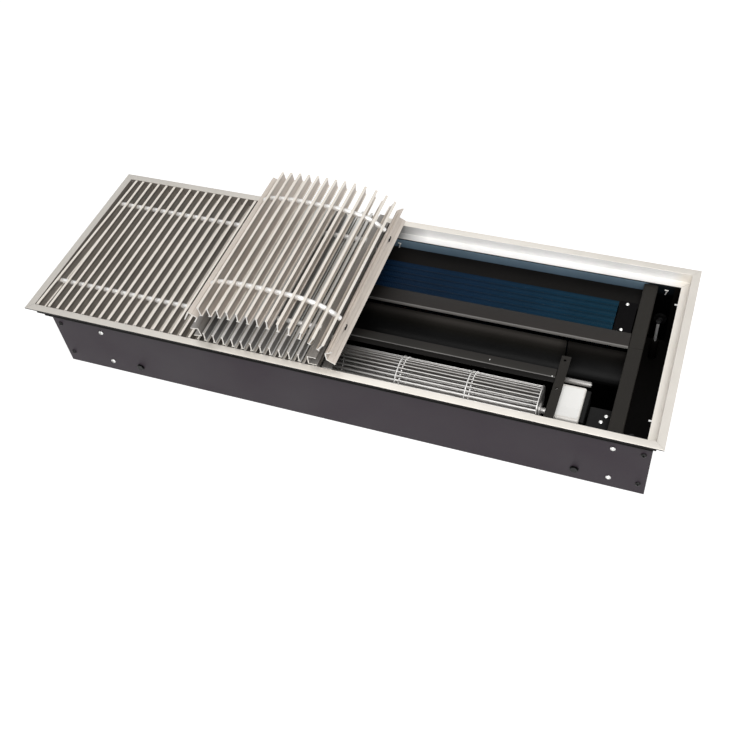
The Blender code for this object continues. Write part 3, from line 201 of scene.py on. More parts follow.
# The X tones paint light and shade along the frame: painted shade towards the left end, and painted
# light on the front bar from x 300 to 600, in front of the folded grille.
TRIM = anodised(
    "trim_anodised", (0.76, 0.72, 0.66), (0.82, 0.78, 0.72), (0.06, 0.06, 1), (0.36, 0.48), 0.5,
    X={0: 0.78, 150: 0.84, 230: 0.95, 300: 1.13, 430: 1.18, 600: 1.08, 750: 1, 832: 0.92},
)
# Inner walls and ledges of the frame. The X tones paint shade: dark brown left of x 440, where the
# grille's slats shade the wall. They also give the right bar a warmer tone.
TRIM_WALL = anodised(
    "trim_inner_wall", (0.93, 0.92, 0.90), (0.98, 0.97, 0.96), (0.04, 1, 1), (0.45, 0.6), 0,
    X={0: (0.2, 0.18, 0.16), 400: (0.22, 0.2, 0.18), 416: 0.2, 438: 0.4, 475: 1, 800: 1,
       812: (0.97, 0.93, 0.87), 832: (0.97, 0.93, 0.87)},
)
SLATS = anodised(
    "slat_anodised", (0.78, 0.73, 0.66), (0.84, 0.79, 0.72), DRAWN_BACK, (0.3, 0.42))
# The webs are darker copies of the slats' finish: painted shade between the slats. SLAT_NECKS is
# darker still, painted shade on the webs' upper part under the top flange. ARCH_WEBS is the arched
# slats' painted shade.
SLAT_WEBS = anodised(
    "slat_web_painted_shade", (0.46, 0.42, 0.38), (0.58, 0.53, 0.48), DRAWN_BACK, (0.34, 0.46), 0.6)
SLAT_NECKS = anodised(
    "slat_web_shade", (0.26, 0.235, 0.21), (0.33, 0.30, 0.265), DRAWN_BACK, (0.4, 0.5), 0.5)
ARCH_WEBS = anodised(
    "arch_slat_web", (0.54, 0.475, 0.42), (0.62, 0.55, 0.49), DRAWN_BACK, (0.34, 0.46), 0.4)
# The stack under the arch: its tops and webs are darker, cooler copies of the slats' finish,
# painted shade from the arch above.
STACK_SLATS = anodised(
    "stack_slat", (0.70, 0.69, 0.67), (0.78, 0.77, 0.75), DRAWN_BACK, (0.3, 0.42), 0.5)
STACK_WEBS = anodised(
    "stack_slat_web", (0.24, 0.235, 0.23), (0.31, 0.305, 0.30), DRAWN_BACK, (0.34, 0.46), 0.5)
# The bare sawn ends, also set lighter as painted light on ends that face the front.
SLAT_ENDS = anodised(
    "slat_sawn_end", (0.86, 0.84, 0.80), (0.92, 0.90, 0.86), EVEN, (0.4, 0.5), 0.3)
PROFILES = anodised(
    "profile_anodised", (0.64, 0.575, 0.515), (0.74, 0.67, 0.60), DRAWN_BACK, (0.4, 0.52), 0.25)
# A near black copy of the profiles' finish: painted shade on the lying grille's right profile under
# the stack.
LOW_PROFILE = anodised(
    "low_profile", (0.10, 0.095, 0.09), (0.14, 0.135, 0.13), DRAWN_BACK, (0.4, 0.52), 0.3)
# A darker copy of the profiles' finish: painted shade on the stack's profiles.
STACK_PROFILES = anodised(
    "stack_profile", (0.30, 0.285, 0.27), (0.38, 0.36, 0.34), DRAWN_BACK, (0.4, 0.52), 0.5)
SLEEVES = anodised(
    "spring_sleeve", (0.94, 0.93, 0.91), (0.97, 0.96, 0.94), EVEN, (0.25, 0.36), 0.35)
# Z tones: darker near the floor, painted shade; near black just under the frame, partly a dark rim
# and partly painted shade under the flange.
CASING = powder_coat(
    "casing_charcoal", (0.035, 0.0255, 0.034), (0.042, 0.031, 0.041), (0.42, 0.55), 0.18,
    Z={-120: 0.8, -112: 1, -29: 1, -27.5: 0.06, -17: 0.04},
)
INNER = powder_coat(
    "inner_charcoal", (0.017, 0.015, 0.013), (0.021, 0.019, 0.016), (0.4, 0.52), 0.15)
# Black paint, set darker than paint is, to stand in for the shade inside the casing: partly painted
# shade.
BLACK = powder_coat(
    "inner_black", (0.005, 0.0045, 0.004), (0.007, 0.006, 0.0055), (0.4, 0.55), 0.08)
# Black paint on the exchanger's brackets, set near zero: partly painted shade.
BRACKET = powder_coat(
    "bracket_black", (0.0030, 0.0028, 0.0030), (0.0042, 0.0039, 0.0042), (0.5, 0.65), 0.03)
# The back wall's inner face: a teal band painted along its upper part, a painted reflection of the
# blue fins. It is near black below the band and past the right partition.
BACK_WALL = powder_coat(
    "back_wall_painted_reflection", 0.5, 0.6, (0.4, 0.55), 0.08,
    Z={-45: 0.01, -33: 0.012, -30: (0.16, 0.24, 0.32), -17: (0.26, 0.38, 0.48)},
    X={0: 1, 768: 1, 772: 0.03, 832: 0.03},
)
# The guide: a lighter band painted at z -34 to -31 is a painted sheen. The X tones paint shade
# towards the left under the grille and at the motor support. The motor bay screen takes the same
# tones.
GUIDE = powder_coat(
    "guide_black_painted_sheen", 0.9, 1, (0.3, 0.42), 0.08,
    Z={-60: 0.003, -54: 0.004, -50: 0.009, -43: (0.014, 0.013, 0.011), -38: (0.028, 0.025, 0.022),
       -34: (0.060, 0.054, 0.049), -31: (0.070, 0.063, 0.057), -28: (0.042, 0.038, 0.034),
       -24: 0.02, -19: 0.01},
    X={420: 0.15, 485: 0.4, 530: 0.85, 684: 0.75, 696: 0.25},
)
# Y tones: the front slope black, painted shade; a thin light line on the front edge, a painted
# highlight. The X tones paint shade towards the left.
LIP = powder_coat(
    "lip_charcoal", 0.9, 1, (0.36, 0.5), 0.2,
    Y={79: 0.002, 84.3: 0.002, 84.6: (0.26, 0.25, 0.24), 85.6: (0.14, 0.135, 0.13),
       86.3: (0.026, 0.024, 0.021), 98: (0.018, 0.016, 0.014)},
    X={430: 0.5, 500: 0.7, 545: 1, 700: 0.9},
)
# Y tones: a light line along the front edge, a painted highlight, and the top near black. The X
# tones paint shade towards the left end under the grille.
STRIP = powder_coat(
    "strip_charcoal", 0.9, 1, (0.38, 0.5), 0.2,
    Y={153: (0.3, 0.29, 0.27), 155.7: (0.2, 0.19, 0.18), 156.5: (0.026, 0.022, 0.020),
       180: (0.020, 0.018, 0.016)},
    X={440: 0.25, 500: 0.9, 832: 1},
)
# X tones: darker towards the left, painted shade under the grille. Y tones alternate lighter and
# darker over the five waves: painted light and shade on the ridges.
FINS = powder_coat(
    "fin_blue", 0.8, 1, (0.28, 0.4), 0.05,
    X={380: (0.004, 0.011, 0.028), 560: (0.006, 0.024, 0.054), 745: (0.005, 0.034, 0.060)},
    Y={FIN_FRONT + 5.2 * step: 1.15 if step % 2 else 0.75 for step in range(11)},
)
COPPER = bare_metal(
    "tube_copper", (0.62, 0.28, 0.15), (0.50, 0.21, 0.11), (0.3, 0.45), 60,
    X={0: 1, 500: 1, 560: 0.02, 832: 0.02},
)
BRASS = bare_metal("fitting_brass", (0.72, 0.52, 0.24), (0.62, 0.44, 0.2), (0.25, 0.4), 120)
# X tones: painted shade towards the left end, under the arch.
ROTOR = anodised(
    "rotor_galvanised", (0.84, 0.82, 0.79), (0.94, 0.92, 0.89), DRAWN_RIGHT, (0.25, 0.4), 0.35,
    X={430: 0.15, 462: 0.36, 500: 0.85, 560: 1, 700: 0.85},
)
BLADE_SHADE = anodised(
    "rotor_shade", (0.30, 0.28, 0.265), (0.40, 0.38, 0.36), DRAWN_RIGHT, (0.25, 0.4), 0.4)
HOOPS = anodised("hoop_bright", (0.84, 0.83, 0.81), (0.90, 0.89, 0.87), EVEN, (0.3, 0.4), 0.4)
ZINC = bare_metal("screw_zinc", (0.70, 0.70, 0.69), (0.82, 0.82, 0.80), (0.2, 0.34), 240)
DARK_SCREW = bare_metal("screw_black", 0.02, 0.04, (0.3, 0.45), 240)
CAPACITOR = anodised(
    "capacitor_can", (0.33, 0.32, 0.305), (0.40, 0.385, 0.37), DRAWN_RIGHT, (0.25, 0.36), 0.5)
PIN = anodised("levelling_pin", (0.74, 0.73, 0.72), (0.82, 0.81, 0.80), EVEN, (0.3, 0.4), 0.2)
MOTOR = moulded("motor_white", (0.84, 0.81, 0.76), (0.90, 0.87, 0.82), (0.3, 0.42), 0.3)
LABEL = moulded("label_satin_white", (0.95, 0.94, 0.91), (0.98, 0.97, 0.94), (0.25, 0.35), 0.5)
PLASTIC = moulded("black_plastic", 0.006, 0.010, (0.4, 0.55), 0, 0.12)


# Shapes


def rounded(points, radius, closed=True, steps=3):
    """The outline with its corners rounded: each corner becomes a short curve."""
    result = []
    for index, point in enumerate(points):
        here = Vector(point)
        if not closed and index in (0, len(points) - 1):
            result.append(here)
            continue
        back = Vector(points[index - 1]) - here
        ahead = Vector(points[(index + 1) % len(points)]) - here
        reach = min(radius, 0.45 * back.length, 0.45 * ahead.length)
        start = here + back.normalized() * reach
        end = here + ahead.normalized() * reach
        for step in range(steps + 1):
            t = step / steps
            result.append(start * (1 - t) ** 2 + here * (2 * t * (1 - t)) + end * t * t)
    return [tuple(point) for point in result]


def sheet_outline(path, thickness=SHEET, bend=0.0):
    """A bent sheet's outline: the path, and the path offset to its left."""
    if bend:
        path = rounded(path, bend, closed=False)
    offset = []
    for index, point in enumerate(path):
        here = Vector(point)
        before = here - Vector(path[max(index - 1, 0)])
        after = Vector(path[min(index + 1, len(path) - 1)]) - here
        before = before.normalized() if before.length else after.normalized()
        after = after.normalized() if after.length else before
        normal = Vector((-before.y - after.y, before.x + after.x)).normalized()
        reach = thickness / max(normal.dot(Vector((-before.y, before.x))), 0.2)
        offset.append(tuple(here + normal * reach))
    return list(path) + offset[::-1]


def circle(centre, radius, sides, turn=0.0):
    angles = [turn + math.tau * index / sides for index in range(sides)]
    return [(centre[0] + radius * math.cos(a), centre[1] + radius * math.sin(a)) for a in angles]


def extruded(outline, low, high, axis):
    """A flat outline as a prism from low to high along this axis."""
    curve = bpy.data.curves.new("outline", "CURVE")
    curve.dimensions = "2D"
    curve.fill_mode = "BOTH"
    curve.extrude = (high - low) / 2
    spline = curve.splines.new("POLY")
    spline.points.add(len(outline) - 1)
    spline.use_cyclic_u = True
    for point, (u, v) in zip(spline.points, outline):
        point.co = (u, v, 0, 1)
    solid = from_curve(curve)
    swap = {
        "x": Matrix(((0, 0, 1, 0), (1, 0, 0, 0), (0, 1, 0, 0), (0, 0, 0, 1))),
        "y": Matrix(((1, 0, 0, 0), (0, 0, 1, 0), (0, 1, 0, 0), (0, 0, 0, 1))),
        "z": Matrix(),
    }[axis]
    bmesh.ops.transform(solid, matrix=swap @ at(0, 0, (low + high) / 2), verts=solid.verts)
    bmesh.ops.recalc_face_normals(solid, faces=solid.faces)
    return merged(solid)


def rod(middle, radius, low, high, axis, sides=24):
    """A round or many-sided prism from low to high along this axis."""
    return extruded(circle(middle, radius, sides), low, high, axis)


def merged(solid):
    """Merges the faces that lie in one plane."""
    bmesh.ops.dissolve_limit(
        solid, angle_limit=math.radians(0.5), verts=solid.verts, edges=solid.edges
    )
    return solid


def opened(mesh):
    """The mesh as a bmesh, its own data removed."""
    solid = bmesh.new()
    solid.from_mesh(mesh)
    bpy.data.meshes.remove(mesh)
    return solid


def from_curve(curve):
    helper = bpy.data.objects.new("curve", curve)
    solid = opened(bpy.data.meshes.new_from_object(helper))
    bpy.data.objects.remove(helper)
    bpy.data.curves.remove(curve)
    bmesh.ops.remove_doubles(solid, verts=solid.verts, dist=0.001)
    return solid


def tube(points, radius, resolution=3):
    """A round tube along the points, its ends closed."""
    curve = bpy.data.curves.new("path", "CURVE")
    curve.dimensions = "3D"
    curve.bevel_depth = radius
    curve.bevel_resolution = resolution
    curve.use_fill_caps = True
    spline = curve.splines.new("POLY")
    spline.points.add(len(points) - 1)
    for point, place in zip(spline.points, points):
        point.co = (*place, 1)
    return from_curve(curve)


def turned(profile, sides=32, looped=False):
    """A turned shape from (radius, height) points, about z."""
    solid = bmesh.new()
    points = [solid.verts.new((radius, 0, height)) for radius, height in profile]
    ahead = points[1:] + points[:1] if looped else points[1:]
    edges = [solid.edges.new(pair) for pair in zip(points, ahead)]
    bmesh.ops.spin(
        solid, geom=points + edges, axis=(0, 0, 1), cent=(0, 0, 0), angle=math.tau, steps=sides
    )
    bmesh.ops.remove_doubles(solid, verts=solid.verts, dist=0.001)
    bmesh.ops.recalc_face_normals(solid, faces=solid.faces)
    return solid


def block(low, high, edge=0.0, segments=2):
    solid = bmesh.new()
    bmesh.ops.create_cube(solid, size=1)
    size = [b - a for a, b in zip(low, high)]
    middle = [(a + b) / 2 for a, b in zip(low, high)]
    bmesh.ops.transform(solid, matrix=Matrix.Diagonal((*size, 1)), verts=solid.verts)
    bmesh.ops.translate(solid, verts=solid.verts, vec=middle)
    if edge:
        bmesh.ops.bevel(
            solid, geom=solid.edges[:], offset=edge, segments=segments, profile=0.5, affect="EDGES"
        )
    return solid


def eased(solid, width):
    """Breaks the sharp edges."""
    limit = math.radians(50)
    sharp = [e for e in solid.edges if len(e.link_faces) == 2 and e.calc_face_angle(0) > limit]
    bmesh.ops.bevel(
        solid, geom=sharp, offset=width, segments=1, profile=0.5, affect="EDGES",
        clamp_overlap=True,
    )
    return solid


def moved(solid, matrix):
    bmesh.ops.transform(solid, matrix=matrix, verts=solid.verts)
    if matrix.determinant() < 0:
        bmesh.ops.reverse_faces(solid, faces=solid.faces)
    return solid


def at(x, y, z):
    return Matrix.Translation((x, y, z))


def cut(solid, tools):
    """Takes the tools away from the solid."""
    body = as_object(solid)
    for tool in tools:
        modifier = body.modifiers.new("cut", "BOOLEAN")
        modifier.operation = "DIFFERENCE"
        modifier.solver = "EXACT"
        modifier.object = as_object(tool)
    graph = bpy.context.evaluated_depsgraph_get()
    result = opened(bpy.data.meshes.new_from_object(body.evaluated_get(graph)))
    for modifier in list(body.modifiers):
        bpy.data.objects.remove(modifier.object)
    bpy.data.objects.remove(body)
    return merged(result)


def joined(solids):
    """The solids in one bmesh."""
    whole = bmesh.new()
    for solid in solids:
        part = bpy.data.meshes.new("part")
        solid.to_mesh(part)
        whole.from_mesh(part)
        bpy.data.meshes.remove(part)
    return whole


def shown(name, data):
    """A new object in the scene."""
    made = bpy.data.objects.new(name, data)
    bpy.context.scene.collection.objects.link(made)
    return made


def as_object(solid):
    mesh = bpy.data.meshes.new("helper")
    solid.to_mesh(mesh)
    return shown("helper", mesh)


def piece(name, material, solids, replaces=(), body="casing"):
    """One finished piece from bmesh solids in layout millimetres."""
    mesh = bpy.data.meshes.new(name)
    joined(solids).to_mesh(mesh)
    return dress(name, mesh, material, replaces, body)


def dress(name, mesh, material, replaces, body):
    mesh.transform(TO_ROW)
    mesh.materials.clear()
    mesh.materials.append(material)
    mesh.shade_smooth()
    mesh.set_sharp_from_angle(angle=math.radians(40))
    made = shown(name, mesh)
    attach(made, body)
    if replaces:
        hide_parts(*replaces)
    return made


def paint(made, material, chosen):
    """Gives another finish to faces chosen by their middle, in layout millimetres, and normal."""
    made.data.materials.append(material)
    to_layout = TO_ROW.inverted()
    for face in made.data.polygons:
        if chosen(to_layout @ face.center, face.normal):
            face.material_index = len(made.data.materials) - 1


# Geometry Nodes trees


def new_tree(name, number):
    """A tree for a shape, the object whose points carry its copies, a number and a finish."""
    tree = bpy.data.node_groups.new(name, "GeometryNodeTree")
    for label, kind in (
        ("Shape", "Geometry"), ("Places", "Object"), (number, "Float"), ("Finish", "Material"),
    ):
        tree.interface.new_socket(label, in_out="INPUT", socket_type=f"NodeSocket{kind}")
    tree.interface.new_socket("Pieces", in_out="OUTPUT", socket_type="NodeSocketGeometry")
    return tree, add(tree, "NodeGroupInput").outputs


def named_vector(tree, name):
    kind = "GeometryNodeInputNamedAttribute"
    return add(tree, kind, {"Name": name}, data_type="FLOAT_VECTOR").outputs["Attribute"]


def copied(tree, given, shape, **more):
    """Ends a tree with coated copies of the shape on the points, with the points' turn."""
    places = add(tree, "GeometryNodeObjectInfo", {"Object": given["Places"]})
    turn = add(tree, "FunctionNodeEulerToRotation", {"Euler": named_vector(tree, "turn")})
    copies = add(tree, "GeometryNodeInstanceOnPoints", {
        "Points": places.outputs["Geometry"], "Instance": shape,
        "Rotation": turn.outputs["Rotation"], **more,
    })
    real = add(tree, "GeometryNodeRealizeInstances", {"Geometry": copies.outputs["Instances"]})
    coat = {"Geometry": real.outputs["Geometry"], "Material": given["Finish"]}
    coated = add(tree, "GeometryNodeSetMaterial", coat)
    add(tree, "NodeGroupOutput", {"Pieces": coated.outputs["Geometry"]})
    return tree


def copies_tree():
    """Copies of a shape on the points of another object, with the points' turn and stretch."""
    tree, given = new_tree("placed_copies", "Size")
    inputs = {0: named_vector(tree, "stretch"), "Scale": given["Size"]}
    size = add(tree, "ShaderNodeVectorMath", inputs, operation="SCALE")
    return copied(tree, given, given["Shape"], Scale=size.outputs["Vector"])


def extrusions_tree():
    """A flat section drawn out to a length, and copies of it on the points of another object."""
    tree, given = new_tree("drawn_sections", "Length")
    drawn = add(tree, "GeometryNodeExtrudeMesh", {
        "Individual": False, "Mesh": given["Shape"], "Offset Scale": given["Length"],
    })
    foot = add(tree, "GeometryNodeFlipFaces", {"Mesh": given["Shape"]})
    whole = add(tree, "GeometryNodeJoinGeometry", {"Geometry": drawn.outputs["Mesh"]})
    fill(tree, whole, {"Geometry": foot.outputs["Mesh"]})
    sewn = add(tree, "GeometryNodeMergeByDistance",
               {"Geometry": whole.outputs["Geometry"], "Distance": 0.001})
    return copied(tree, given, sewn.outputs["Geometry"])


COPIES = copies_tree()
EXTRUSIONS = extrusions_tree()


def points_object(places):
    """An object of bare points with a turn and a stretch, from (place, turn, stretch)."""
    mesh = bpy.data.meshes.new("places")
    mesh.from_pydata([place for place, _, _ in places], [], [])
    for name, column in (("turn", 1), ("stretch", 2)):
        attribute = mesh.attributes.new(name, "FLOAT_VECTOR", "POINT")
        for datum, row in zip(attribute.data, places):
            datum.vector = row[column]
    return shown("places", mesh)


def grown(name, tree, number, shape, places, material, replaces=(), body="casing"):
    """A piece that a tree makes from one shape and its size or length, as one plain mesh."""
    holder = points_object(places)
    base = as_object(shape)
    modifier = base.modifiers.new("rows", "NODES")
    modifier.node_group = tree
    values = {"Places": holder, "Finish": material, "Size": number, "Length": number}
    for socket in tree.interface.items_tree:
        if socket.in_out == "INPUT" and socket.name in values:
            modifier[socket.identifier] = values[socket.name]
    graph = bpy.context.evaluated_depsgraph_get()
    mesh = bpy.data.meshes.new_from_object(base.evaluated_get(graph))
    mesh.name = name
    bpy.data.objects.remove(base)
    bpy.data.objects.remove(holder)
    for attribute in ("turn", "stretch"):
        if attribute in mesh.attributes:
            mesh.attributes.remove(mesh.attributes[attribute])
    return dress(name, mesh, material, replaces, body)


def still(places):
    """Places that aren't turned or stretched."""
    return [(place, (0, 0, 0), (1, 1, 1)) for place in places]


def flat_face(outline, plane):
    """One face with this outline. Its normal points along +y for xz and along +x for yz."""
    solid = bmesh.new()
    upright = plane == "xz"
    points = [solid.verts.new((u, 0, v) if upright else (0, u, v)) for u, v in outline]
    face = solid.faces.new(points)
    face.normal_update()
    if (face.normal.y if upright else face.normal.x) < 0:
        face.normal_flip()
    return solid


# Trim frame


def trim_bar(length):
    steps = [
        (0, -1.8), (0, 0), (10, 0), (10, -14.4), (20, -14.4), (20, -16), (8.4, -16), (8.4, -1.8),
    ]
    bar = extruded(rounded(steps, 0.5), 0, length, "x")
    for vert in bar.verts:
        inset = vert.co.y + GAP / 2
        vert.co.x += inset if vert.co.x < length / 2 else -inset
    return bar


def is_trim_wall(middle, normal):
    """Tells whether a face of the trim looks into the opening, or is the ledge at its foot."""
    inward = (FRAME_LENGTH / 2 - middle.x) * normal.x + (FRAME_WIDTH / 2 - middle.y) * normal.y
    if normal.z > 0.9:
        return middle.z < -10
    return abs(normal.z) < 0.3 and inward > 0 and middle.z < -1.9


def build_trim():
    half = Matrix.Rotation(math.pi, 4, "Z")
    quarter = Matrix.Rotation(math.pi / 2, 4, "Z")
    places = {
        "front": (FRAME_LENGTH, Matrix()),
        "back": (FRAME_LENGTH, at(FRAME_LENGTH, FRAME_WIDTH, 0) @ half),
        "right": (FRAME_WIDTH, at(FRAME_LENGTH, 0, 0) @ quarter),
        "left": (FRAME_WIDTH, at(0, FRAME_WIDTH, 0) @ quarter.inverted()),
    }
    for side, (length, place) in places.items():
        bar = moved(trim_bar(length), place)
        made = piece(f"trim_{side}", TRIM, [bar], [f"frame_{side}_bar"])
        # Painted shade: the front bar's upright outer faces are black, like the shade under the
        # flange's edge. The inner walls and ledges take the inner wall finish, with its painted
        # shade at the left.
        paint(made, BLACK, lambda middle, normal: abs(normal.z) < 0.3 and middle.y < 9)
        paint(made, TRIM_WALL, is_trim_wall)


# Casing


def pan_head(radius, height):
    """A round screw head with a cross recess, its seat at z 0."""
    rows = ((0, 1), (0.55, 1), (0.86, 0.78), (1, 0.35), (1, 0), (0, 0))
    head = turned([(radius * out, height * up) for out, up in rows], 24)
    arm, slot, low, high = radius * 0.6, radius * 0.16, height * 0.2, height + 1
    return cut(head, [
        block((-arm, -slot, low), (arm, slot, high)),
        block((-slot, -arm, low), (slot, arm, high)),
    ])


def hex_head(radius, height):
    """A hexagon head on a washer, its seat at z 0."""
    washer = turned([(0, 0.5), (radius * 1.08, 0.5), (radius * 1.08, 0), (0, 0)])
    return joined([washer, eased(rod((0, 0), radius, 0.5, height, "z", 6), 0.35)])


def wall_places(places):
    """Copies on the outside of both long walls, at (x, z)."""
    walls = ((CASING_FRONT, math.pi / 2), (CASING_BACK, -math.pi / 2))
    return [((x, y, z), (turn, 0, 0), (1, 1, 1)) for y, turn in walls for x, z in places]


def inside(middle, slack=0.2):
    """Tells whether a place lies within the casing's sheets."""
    low = (CASING_LEFT + SHEET, CASING_FRONT + SHEET, FLOOR)
    high = (CASING_RIGHT - SHEET, CASING_BACK - SHEET, 0)
    return all(a - slack < value < b + slack for a, value, b in zip(low, middle, high))


def build_casing():
    front, back, top = CASING_FRONT, CASING_BACK, CASING_TOP
    foot = FLOOR - SHEET
    path = [(8, top), (front, top), (front, foot), (back, foot), (back, top), (279, top)]
    trough = extruded(sheet_outline(path, SHEET, 2.2), CASING_LEFT, CASING_RIGHT, "x")
    holes = [rod((x, y), 2.4, -122, -112, "z") for x in LEVEL_XS for y in LEVEL_YS]
    holes.append(rod(GLAND_PLACE, 6.1, back - 5, back + 5, "y", 32))
    sheet = piece("casing_sheet", CASING, [cut(trough, holes)], ["casing_trough"])
    # Inside faces black, partly painted shade; the back wall's inner face gets the painted
    # reflection band.
    paint(sheet, BLACK, lambda middle, normal: inside(middle))
    paint(sheet, BACK_WALL, lambda middle, normal: inside(middle) and normal.y < -0.9)
    ends = wall_places([(x, z) for x in (CASING_LEFT + 9, CASING_RIGHT - 9) for z in SCREW_ZS])
    grown("end_screws", COPIES, 1.0, pan_head(3.4, 1.7), ends, DARK_SCREW)
    anchors = wall_places([(137.7, -100), (736.2, -100)])
    grown("anchor_bolts", COPIES, 1.0, hex_head(5.2, 2.4), anchors, DARK_SCREW)
    build_partition_screws()
    build_end_plates()
    build_levelling()


def build_partition_screws():
    screw = joined([pan_head(3.4, 1.9), turned([(0, 0), (1.7, 0), (1.7, -7), (0, -7)], 16)])
    for side, x in (("left", LEFT_WEB - 10), ("right", RIGHT_WEB + 10)):
        for level, z in zip(("upper", "lower"), SCREW_ZS):
            for depth, place in zip(("front", "back"), wall_places([(x, z)])):
                name = f"screw_{depth}_{side}_{level}"
                grown(f"partition_{name}", COPIES, 1.0, screw, [place], ZINC,
                      [f"bracket_{name}"])


def build_end_plates():
    outline = sheet_outline([(16, 267), (0, 267), (0, 20), (16, 20)], SHEET, 2.2)
    plate = extruded(outline, FOOT, -16.3, "z")
    sides = {"left": at(CASING_LEFT, 0, 0), "right": at(CASING_RIGHT, 0, 0) @ MIRROR}
    pipes = [rod((y, TUBE_ZS[1]), 11.5, 15, 30, "x", 40) for y in TUBE_YS]
    for side, place in sides.items():
        end = moved(plate.copy(), place)
        if side == "left":
            end = cut(end, pipes)
        made = piece(f"end_plate_{side}", CASING, [end], [f"casing_end_{side}"])
        paint(made, BLACK, lambda middle, normal: inside(middle))
    tongues = [
        moved(block((1, y - 1.2, CASING_TOP - SHEET), (12, y + 1.2, CASING_TOP), 0.25), place)
        for y in (50, 238)
        for place in sides.values()
    ]
    piece("end_tongues", ZINC, tongues)


def build_levelling():
    head = -51.2
    shank = turned([
        (0, 1.5), (1.3, 1.5), (1.3, 2.2), (2.9, 2.2), (3.2, 1.9), (3.2, 0.2), (3, 0), (1.9, 0),
        (1.9, -68), (1.6, -68.5), (0, -68.5),
    ])
    ridges = [
        turned([(1.85, low), (2, low + 0.35), (1.85, low + 0.7)], 16)
        for low in (-67.5 + index for index in range(30))
    ]
    nut = cut(eased(rod((0, 0), 5.5, -119.4, -84, "z", 6), 0.4), [rod((0, 0), 2.3, -125, -80, "z")])
    nuts = []
    for depth, y in zip(("front", "back"), LEVEL_YS):
        for side, x in zip(("left", "right"), LEVEL_XS):
            name = f"levelling_screw_{depth}_{side}"
            shapes = [moved(solid.copy(), at(x, y, head)) for solid in [shank, *ridges]]
            pin = piece(f"level_{depth}_{side}", PIN, shapes, [name],
                        f"{name}_body")
            paint(pin, DARK_SCREW, lambda middle, normal: middle.z > head - 0.1)
            nuts.append(moved(nut.copy(), at(x, y, 0)))
    piece("levelling_nuts", BLACK, nuts)


# Partitions, strips and supports


def build_partitions():
    outline = sheet_outline([(17.5, -25), (17.5, RIM), (0, RIM), (0, FOOT)], SHEET, BEND)
    for side, place in (("left", at(LEFT_WEB, 0, 0) @ MIRROR), ("right", at(RIGHT_WEB, 0, 0))):
        for depth, low, high, tab_y in (("front", 20, 154.7, 20.3), ("back", SEAM_Y, 267, 265.5)):
            plate = extruded(outline, low, high, "y")
            tab = block((0.4, tab_y, -110), (16, tab_y + SHEET, -32), 0.3)
            if (side, depth) == ("left", "back"):
                bores = [rod((y, TUBE_ZS[1]), TUBE_HOLE, -6, 4, "x", 32) for y in TUBE_YS]
                plate = cut(plate, bores)
            solids = [moved(eased(plate, EDGE), place), moved(tab, place)]
            name = f"partition_{depth}_{side}"
            piece(f"{name}_sheet", INNER, solids, [name])


def build_strips():
    centre = [(178.4, -23), (178.4, RIM), (SEAM_Y, RIM), (SEAM_Y, -23)]
    rear = [(267, -31), (231.6, -31), (231.6, -35)]
    for name, path, slot, material in (
        ("centre_cover_strip", centre, "inner_sheets", STRIP),
        ("rear_cover_strip", rear, "black_sheets", BLACK),
    ):
        outline = sheet_outline(path, SHEET, BEND)
        strip = eased(extruded(outline, LEFT_WEB + GAP, RIGHT_WEB - GAP, "x"), EDGE)
        piece(f"{name}_sheet", material, [strip], [name])


def build_supports():
    outline = sheet_outline([(11.7, RIM), (0, RIM), (0, FOOT)], SHEET, BEND)
    upright = extruded(outline, 22, 121, "y")
    bore, seat = (rod(FAN_MIDDLE, radius, -4, 6, "x", 32) for radius in (4.6, 9.3))
    straps = [rod((5.4, y), 1.8, -24, -14, "z", 20) for y in (69, 114)]
    for name, holes, place in (
        ("motor_support", [bore, *straps], at(RIGHT_SUPPORT, 0, 0)),
        ("bearing_support", [seat], at(LEFT_SUPPORT, 0, 0) @ MIRROR),
    ):
        sheet = moved(eased(cut(upright.copy(), holes), EDGE), place)
        piece(f"{name}_sheet", INNER, [sheet], [name])
    bush = turned(
        [(4.5, 0.3), (4.8, 0), (8.6, 0), (9, 0.4), (9, 4.6), (8.6, 5), (4.8, 5), (4.5, 4.7)],
        40, looped=True,
    )
    place = at(LEFT_SUPPORT - 4.7, *FAN_MIDDLE) @ TO_RIGHT
    piece("bearing_bush_ring", PLASTIC, [moved(bush, place)], ["bearing_bush"])


def build_fan_sheets():
    low, high = LEFT_SUPPORT + GAP, RIGHT_SUPPORT - GAP
    scroll = []
    for index in range(19):
        part = index / 18
        angle, radius = math.radians(192 + 83 * part), 35 + 10 * part
        scroll.append((FAN_Y + radius * math.cos(angle), FAN_Z + radius * math.sin(angle)))
    scroll.append((173, -108))
    piece("fan_scroll_sheet", BLACK,
          [extruded(sheet_outline(scroll), low, high, "x")], ["fan_scroll"])
    guide = [(79, -21.7), (84.4, RIM), *guide_curve(0)]
    made = piece("fan_lip_guide_sheet", GUIDE,
                 [extruded(sheet_outline(guide[::-1]), low, high, "x")], ["fan_lip_guide"])
    # The lip takes its tones with the painted highlight; the front slope is painted black, painted
    # shade.
    paint(made, LIP, lambda middle, normal: middle.y < GUIDE_FRONT + 0.1)
    paint(made, BLACK, lambda middle, normal: middle.y < 84.3)
    behind = guide_curve(12)
    outline = sheet_outline([*behind[::-1], (behind[0][0], FOOT)])
    piece("motor_bay_screen_sheet", GUIDE,
          [extruded(outline, MOTOR_LEFT, RIGHT_WEB - GAP, "x")], ["motor_bay_screen"])
    rivets = still([(612, 91.5, RIM), (690, 86, RIM)])
    grown("lip_rivets", COPIES, 1.0, pan_head(0.8, 0.4), rivets, ZINC)


def build_clips():
    """Small wire clips that hang on the back wall under the frame."""
    bends = ((-2, -22), (2, -22), (0.5, -25), (-0.8, -30))
    clips = [tube([(x + reach, 264.5, z) for reach, z in bends], 0.7) for x in (436.5, 795.2)]
    piece("wall_clips", SLAT_ENDS, clips)


